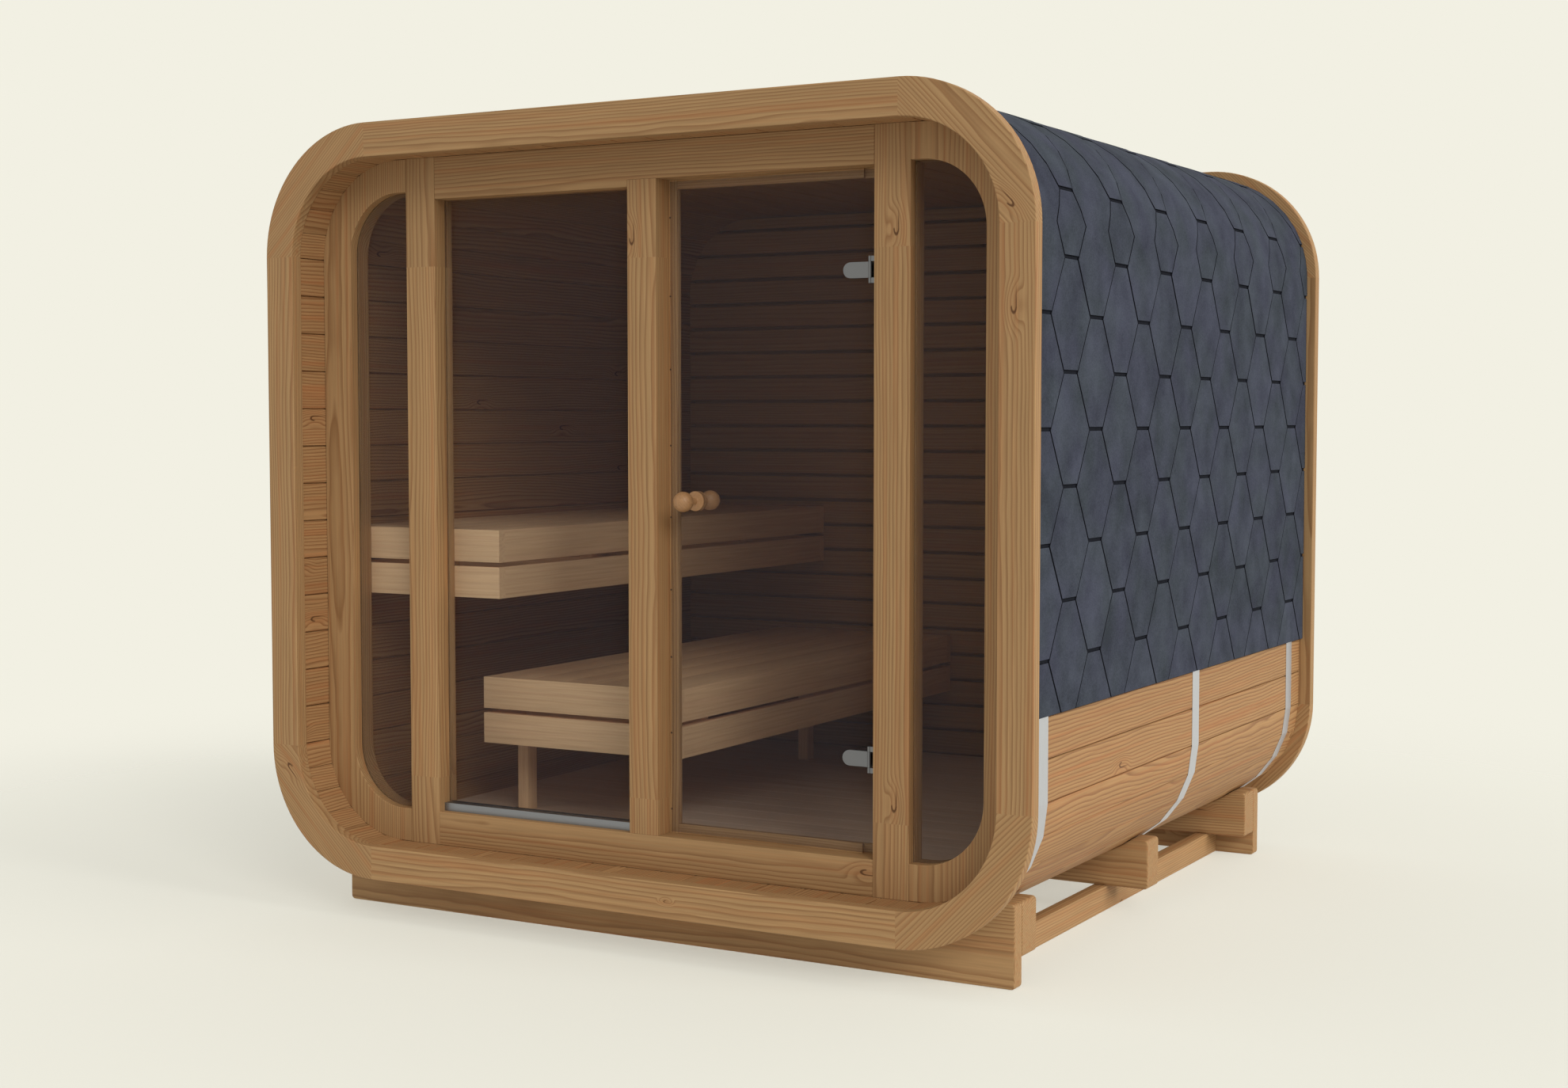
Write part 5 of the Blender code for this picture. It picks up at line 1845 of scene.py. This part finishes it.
@dataclass
class Fittings:
    """The door's knob, the nails in the stop strip, and the finish of the nodes that stay as packed.

    Attributes:
        finishes: The cabin's finishes.
        knob_steps: Segments round the knob.
        profile_steps: Points of a ball's profile.
        pole: Angle in radians of the small flat at a ball's end.
        neck: Radius of the neck.
        flare: How much wider the neck ends at the collar.
        flare_long: Length of that flare.
        collar_thick: Thickness of a collar.
        collar_edge: Radius of its rounded edge.
        collar_in: How much smaller than the ball the collar is.
        foot_in: How much smaller than the collar its foot on the glass is.
        nail_in: How far the nails stand from the strip's left edge.
        nail_first: Height of the first nail over the strip's foot.
        nail_last: How far the last one stays from the top, at least.
        nail_pitch: Distance of two nails.
        nail_stray: How far a nail strays from its place.
        nail_steps: Segments round a nail.
        smooth: Edges flatter than this many degrees are shaded smooth.
        seed: Seed of the draws.
    """

    finishes: Finishes
    knob_steps: int = 48
    profile_steps: int = 14
    pole: float = 0.02
    neck: float = 9 * MM
    flare: float = 2 * MM
    flare_long: float = 1.5 * MM
    collar_thick: float = 6 * MM
    collar_edge: float = 2 * MM
    collar_in: float = 0.5 * MM
    foot_in: float = 1 * MM
    nail_in: float = 6 * MM
    nail_first: float = 70 * MM
    nail_last: float = 40 * MM
    nail_pitch: float = 190 * MM
    nail_stray: float = 12 * MM
    nail_steps: int = 12
    smooth: float = 40.0
    seed: int = 400

    def build(self) -> None:
        """Makes the small fittings and dresses the nodes that stay."""
        self.knob()
        self.nails()
        dressed = {
            self.finishes.glass: ("left_side_pane", "right_side_pane", "fixed_pane", "door_pane"),
            self.finishes.strap: ("front_strap", "middle_strap", "rear_strap"),
            self.finishes.sill: ("window_sill_profile",),
            self.finishes.hinge: ("upper_hinge_clamp", "lower_hinge_clamp", "upper_hinge_leaf",
                                  "lower_hinge_leaf"),
        }
        for material, nodes in dressed.items():
            for node in nodes:
                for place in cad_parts[node].material_slots:
                    place.material = material
                LOG.info("%s: %s", node, material.name)

    def revolve(self, along: Array, radius: Array, centre: Array, steps: int) -> tuple[Array, Array]:
        """Turns a profile about an axis that runs with Y.

        A point is the centre plus (radius * cos, along, radius * sin) of its angle.

        Args:
            along: Places on the axis.
            radius: Radius at each place.
            centre: Point on the axis.
            steps: Segments of the turn.

        Returns:
            Points and quads.
        """
        angle = np.linspace(0, math.tau, steps, endpoint=False)
        grid = np.stack([
            centre[0] + radius[:, None] * np.cos(angle),
            np.broadcast_to(centre[1] + along[:, None], (len(along), steps)),
            centre[2] + radius[:, None] * np.sin(angle),
        ], -1)
        index = np.arange(len(along) * steps).reshape(len(along), steps)
        near, far = index[:-1], index[1:]
        quads = np.stack([near, far, np.roll(far, -1, 1), np.roll(near, -1, 1)], -1).reshape(-1, 4)
        return grid.reshape(-1, 3), quads

    def knob(self) -> None:
        """The turned double knob: ball, neck and collar on each side of the glass."""
        low, high = span("door_knob")
        pane_low, pane_high = span("door_pane")
        ball = (high[2] - low[2]) / 2
        centre = (low + high) / 2
        reach = centre[1] - low[1] - ball
        glass = (pane_high[1] - pane_low[1]) / 2
        collar, edge = ball - self.collar_in, self.collar_edge
        turn = np.linspace(self.pole, math.pi - math.asin(self.neck / ball), self.profile_steps)
        round_off = np.linspace(0, math.pi / 2, 4)
        rim = glass + self.collar_thick + FIT
        along = np.concatenate([
            -reach - ball * np.cos(turn),
            [-rim - self.flare_long, -rim],
            -rim + edge * (1 - np.cos(round_off)),
            [-glass - FIT],
        ])
        radius = np.concatenate([
            ball * np.sin(turn),
            [self.neck, self.neck + self.flare],
            collar - edge + edge * np.sin(round_off),
            [collar - self.foot_in],
        ])
        timber = Timber("door_knob_turned", self.seed, ("door_knob",))
        for way in (1, -1):
            places, quads = self.revolve(way * along, radius, centre, self.knob_steps)
            index = np.arange(len(places)).reshape(len(along), self.knob_steps)
            caps = [index[0].tolist(), index[-1, ::-1].tolist()]
            faces = quads.tolist() + caps
            if way < 0:
                faces = [face[::-1] for face in faces]
            timber.faces += [[point + timber.count for point in face] for face in faces]
            timber.add_points(places, INWARD, UP)
        timber.build(self.finishes.knob, "knob", Body.DOOR, self.smooth)

    def nails(self) -> None:
        """Nail heads down the middle post's stop strip, low domes about 190 mm apart."""
        low, high = span("middle_post")
        x, y = -low[0] + self.nail_in, span("door_pane")[1][1] + STOP_GAP
        heights = np.arange(low[2] + self.nail_first, high[2] - self.nail_last, self.nail_pitch)
        stray = np.random.default_rng(self.seed).uniform(-self.nail_stray, self.nail_stray, len(heights))
        along = np.array([-0.9, -0.7, 0.2]) * MM
        radius = np.array([0.6, 2.0, 2.6]) * MM
        points, faces = [], []
        for number, z in enumerate(heights + stray):
            places, quads = self.revolve(along, radius, np.array([x, y, z]), self.nail_steps)
            index = np.arange(len(places)).reshape(len(along), self.nail_steps)
            ends = [index[0], index[-1, ::-1]]
            faces += [(face + number * len(places)).tolist() for face in (*quads, *ends)]
            points.append(places)
        mesh = bpy.data.meshes.new("stop_strip_nails")
        mesh.from_pydata(np.concatenate(points).tolist(), [], faces)
        place_piece("stop_strip_nails", mesh, (self.finishes.nail,), "hinge", Body.CABIN, (), self.smooth)


@dataclass(frozen=True)
class Lamp:
    """A wide sun: its name, its power, and its way in degrees round from the front to the right, and up."""

    name: str
    power: float
    round_way: float
    up: float


@dataclass
class Studio:
    """Camera, lamps, pale floor and background.

    Attributes:
        background: Colour of the floor and of what is seen behind the cabin.
        place: Place of the camera.
        pitch: Degrees from straight down at which it looks.
        turn: Degrees that it is turned to the left.
        lens: Its focal length in millimetres.
        sensor: Width of its sensor in millimetres.
        suns: The key from the right, and a weaker one from between the right and the front.
        sky: Strength of the even white light.
        lamp_spread: Angle of the lamps in degrees, wide for soft shadows.
        floor_reach: Radius of the floor.
        floor_steps: Its corners.
        floor_under: How far it lies under the cabin's feet.
        floor_cover: Share of the floor that hides the background near the cabin, 0 to 1.
        fade_from: Distance from the middle at which the floor starts to fade.
        fade_to: Distance at which it is gone.
    """

    background: str = "#F2F0E3"
    place: tuple[float, float, float] = (3.0843, -5.7242, 1.3712)
    pitch: float = 86.712
    turn: float = 29.466
    lens: float = 50.0
    sensor: float = 36.0
    suns: tuple[Lamp, ...] = (Lamp("key", 1.22, 92.0, 28.0), Lamp("front", 0.96, 50.0, 30.0))
    sky: float = 0.62
    lamp_spread: float = 25.0
    floor_reach: float = 9.0
    floor_steps: int = 64
    floor_under: float = 0.5 * MM
    floor_cover: float = 0.5
    fade_from: float = 2.0
    fade_to: float = 5.0

    def build(self) -> None:
        """Sets up the camera, the light and the floor."""
        scene = bpy.context.scene
        scene.view_settings.view_transform = "Standard"
        self.camera(scene)
        self.lamps(scene)
        self.world(scene)
        self.floor(scene)

    def camera(self, scene: bpy.types.Scene) -> None:
        """Adds the camera of the photograph, solved from the edges of both rings and the front beam.

        Args:
            scene: Scene that takes it.
        """
        data = bpy.data.cameras.new("camera")
        data.lens = self.lens
        data.sensor_width = self.sensor
        holder = bpy.data.objects.new("camera", data)
        holder.location = self.place
        holder.rotation_euler = (math.radians(self.pitch), 0.0, math.radians(self.turn))
        scene.collection.objects.link(holder)
        scene.camera = holder

    def lamps(self, scene: bpy.types.Scene) -> None:
        """Adds the suns, each looking at the cabin from its own way.

        Args:
            scene: Scene that takes them.
        """
        for sun in self.suns:
            data = bpy.data.lights.new(sun.name, "SUN")
            data.energy = sun.power
            data.angle = math.radians(self.lamp_spread)
            holder = bpy.data.objects.new(sun.name, data)
            turn, rise = math.radians(sun.round_way), math.radians(sun.up)
            way = Vector((math.sin(turn) * math.cos(rise), -math.cos(turn) * math.cos(rise), math.sin(rise)))
            holder.rotation_euler = way.to_track_quat("Z", "Y").to_euler()
            scene.collection.objects.link(holder)

    def world(self, scene: bpy.types.Scene) -> None:
        """Even white light for the surfaces, and the pale background for what is seen or mirrored.

        Args:
            scene: Scene that takes it.
        """
        world = bpy.data.worlds.new("studio")
        world.use_nodes = True
        scene.world = world
        tree = world.node_tree
        ray = add(tree, "LightPath").outputs
        seen = add(tree, "Math", {0: ray["Is Camera Ray"], 1: ray["Is Transmission Ray"]},
                   operation="MAXIMUM")
        shown = add(tree, "Math", {0: seen, 1: ray["Is Glossy Ray"]}, operation="MAXIMUM")
        light = add(tree, "Background", {"Color": (1.0, 1.0, 1.0, 1.0), "Strength": self.sky})
        back = add(tree, "Background", {"Color": linear(self.background), "Strength": 1.0})
        feed(tree.nodes["World Output"], {"Surface": add(tree, "MixShader", {0: shown, 1: light, 2: back})})

    def floor(self, scene: bpy.types.Scene) -> None:
        """A pale round floor that fades into the background away from the cabin.

        Args:
            scene: Scene that takes it.
        """
        ring = arc((0.0, 0.0), self.floor_reach, 0, 360, self.floor_steps)[:-1]
        mesh = bpy.data.meshes.new("studio_floor")
        points = np.concatenate([ring, np.full((len(ring), 1), -self.floor_under)], 1)
        mesh.from_pydata(points.tolist(), [], [list(range(len(ring)))])
        material, tree, shader = new_material("studio_floor")
        feed(shader, {"Base Color": linear(self.background), "Roughness": 1.0, "Specular IOR Level": 0.0})
        place = add(tree, "TexCoord").outputs["Object"]
        away = add(tree, "VectorMath", {0: place}, operation="LENGTH").outputs["Value"]
        fade = add(tree, "MapRange", {
            0: away, 1: self.fade_from, 2: self.fade_to, 3: 1.0 - self.floor_cover, 4: 1.0,
        }, interpolation_type="SMOOTHSTEP")
        clear = add(tree, "BsdfTransparent")
        mixed = add(tree, "MixShader", {0: fade, 1: shader, 2: clear})
        feed(tree.nodes["Material Output"], {"Surface": mixed})
        mesh.materials.append(material)
        floor = bpy.data.objects.new("studio_floor", mesh)
        scene.collection.objects.link(floor)


def main() -> None:
    """Builds the cabin's looks in order."""
    logging.basicConfig(level=logging.INFO, format="%(name)s: %(message)s")
    finishes = Finishes.make()
    barrel = Barrel()
    EndRing(barrel, finishes, "front_ring", 11).build()
    EndRing(barrel, finishes, "back_ring", 12).build()
    for assembly in (Staves, Base, FrontWall, Interior, ShingleCover):
        assembly(barrel, finishes).build()
    Fittings(finishes).build()
    Studio().build()


if __name__ == "__main__":
    main()
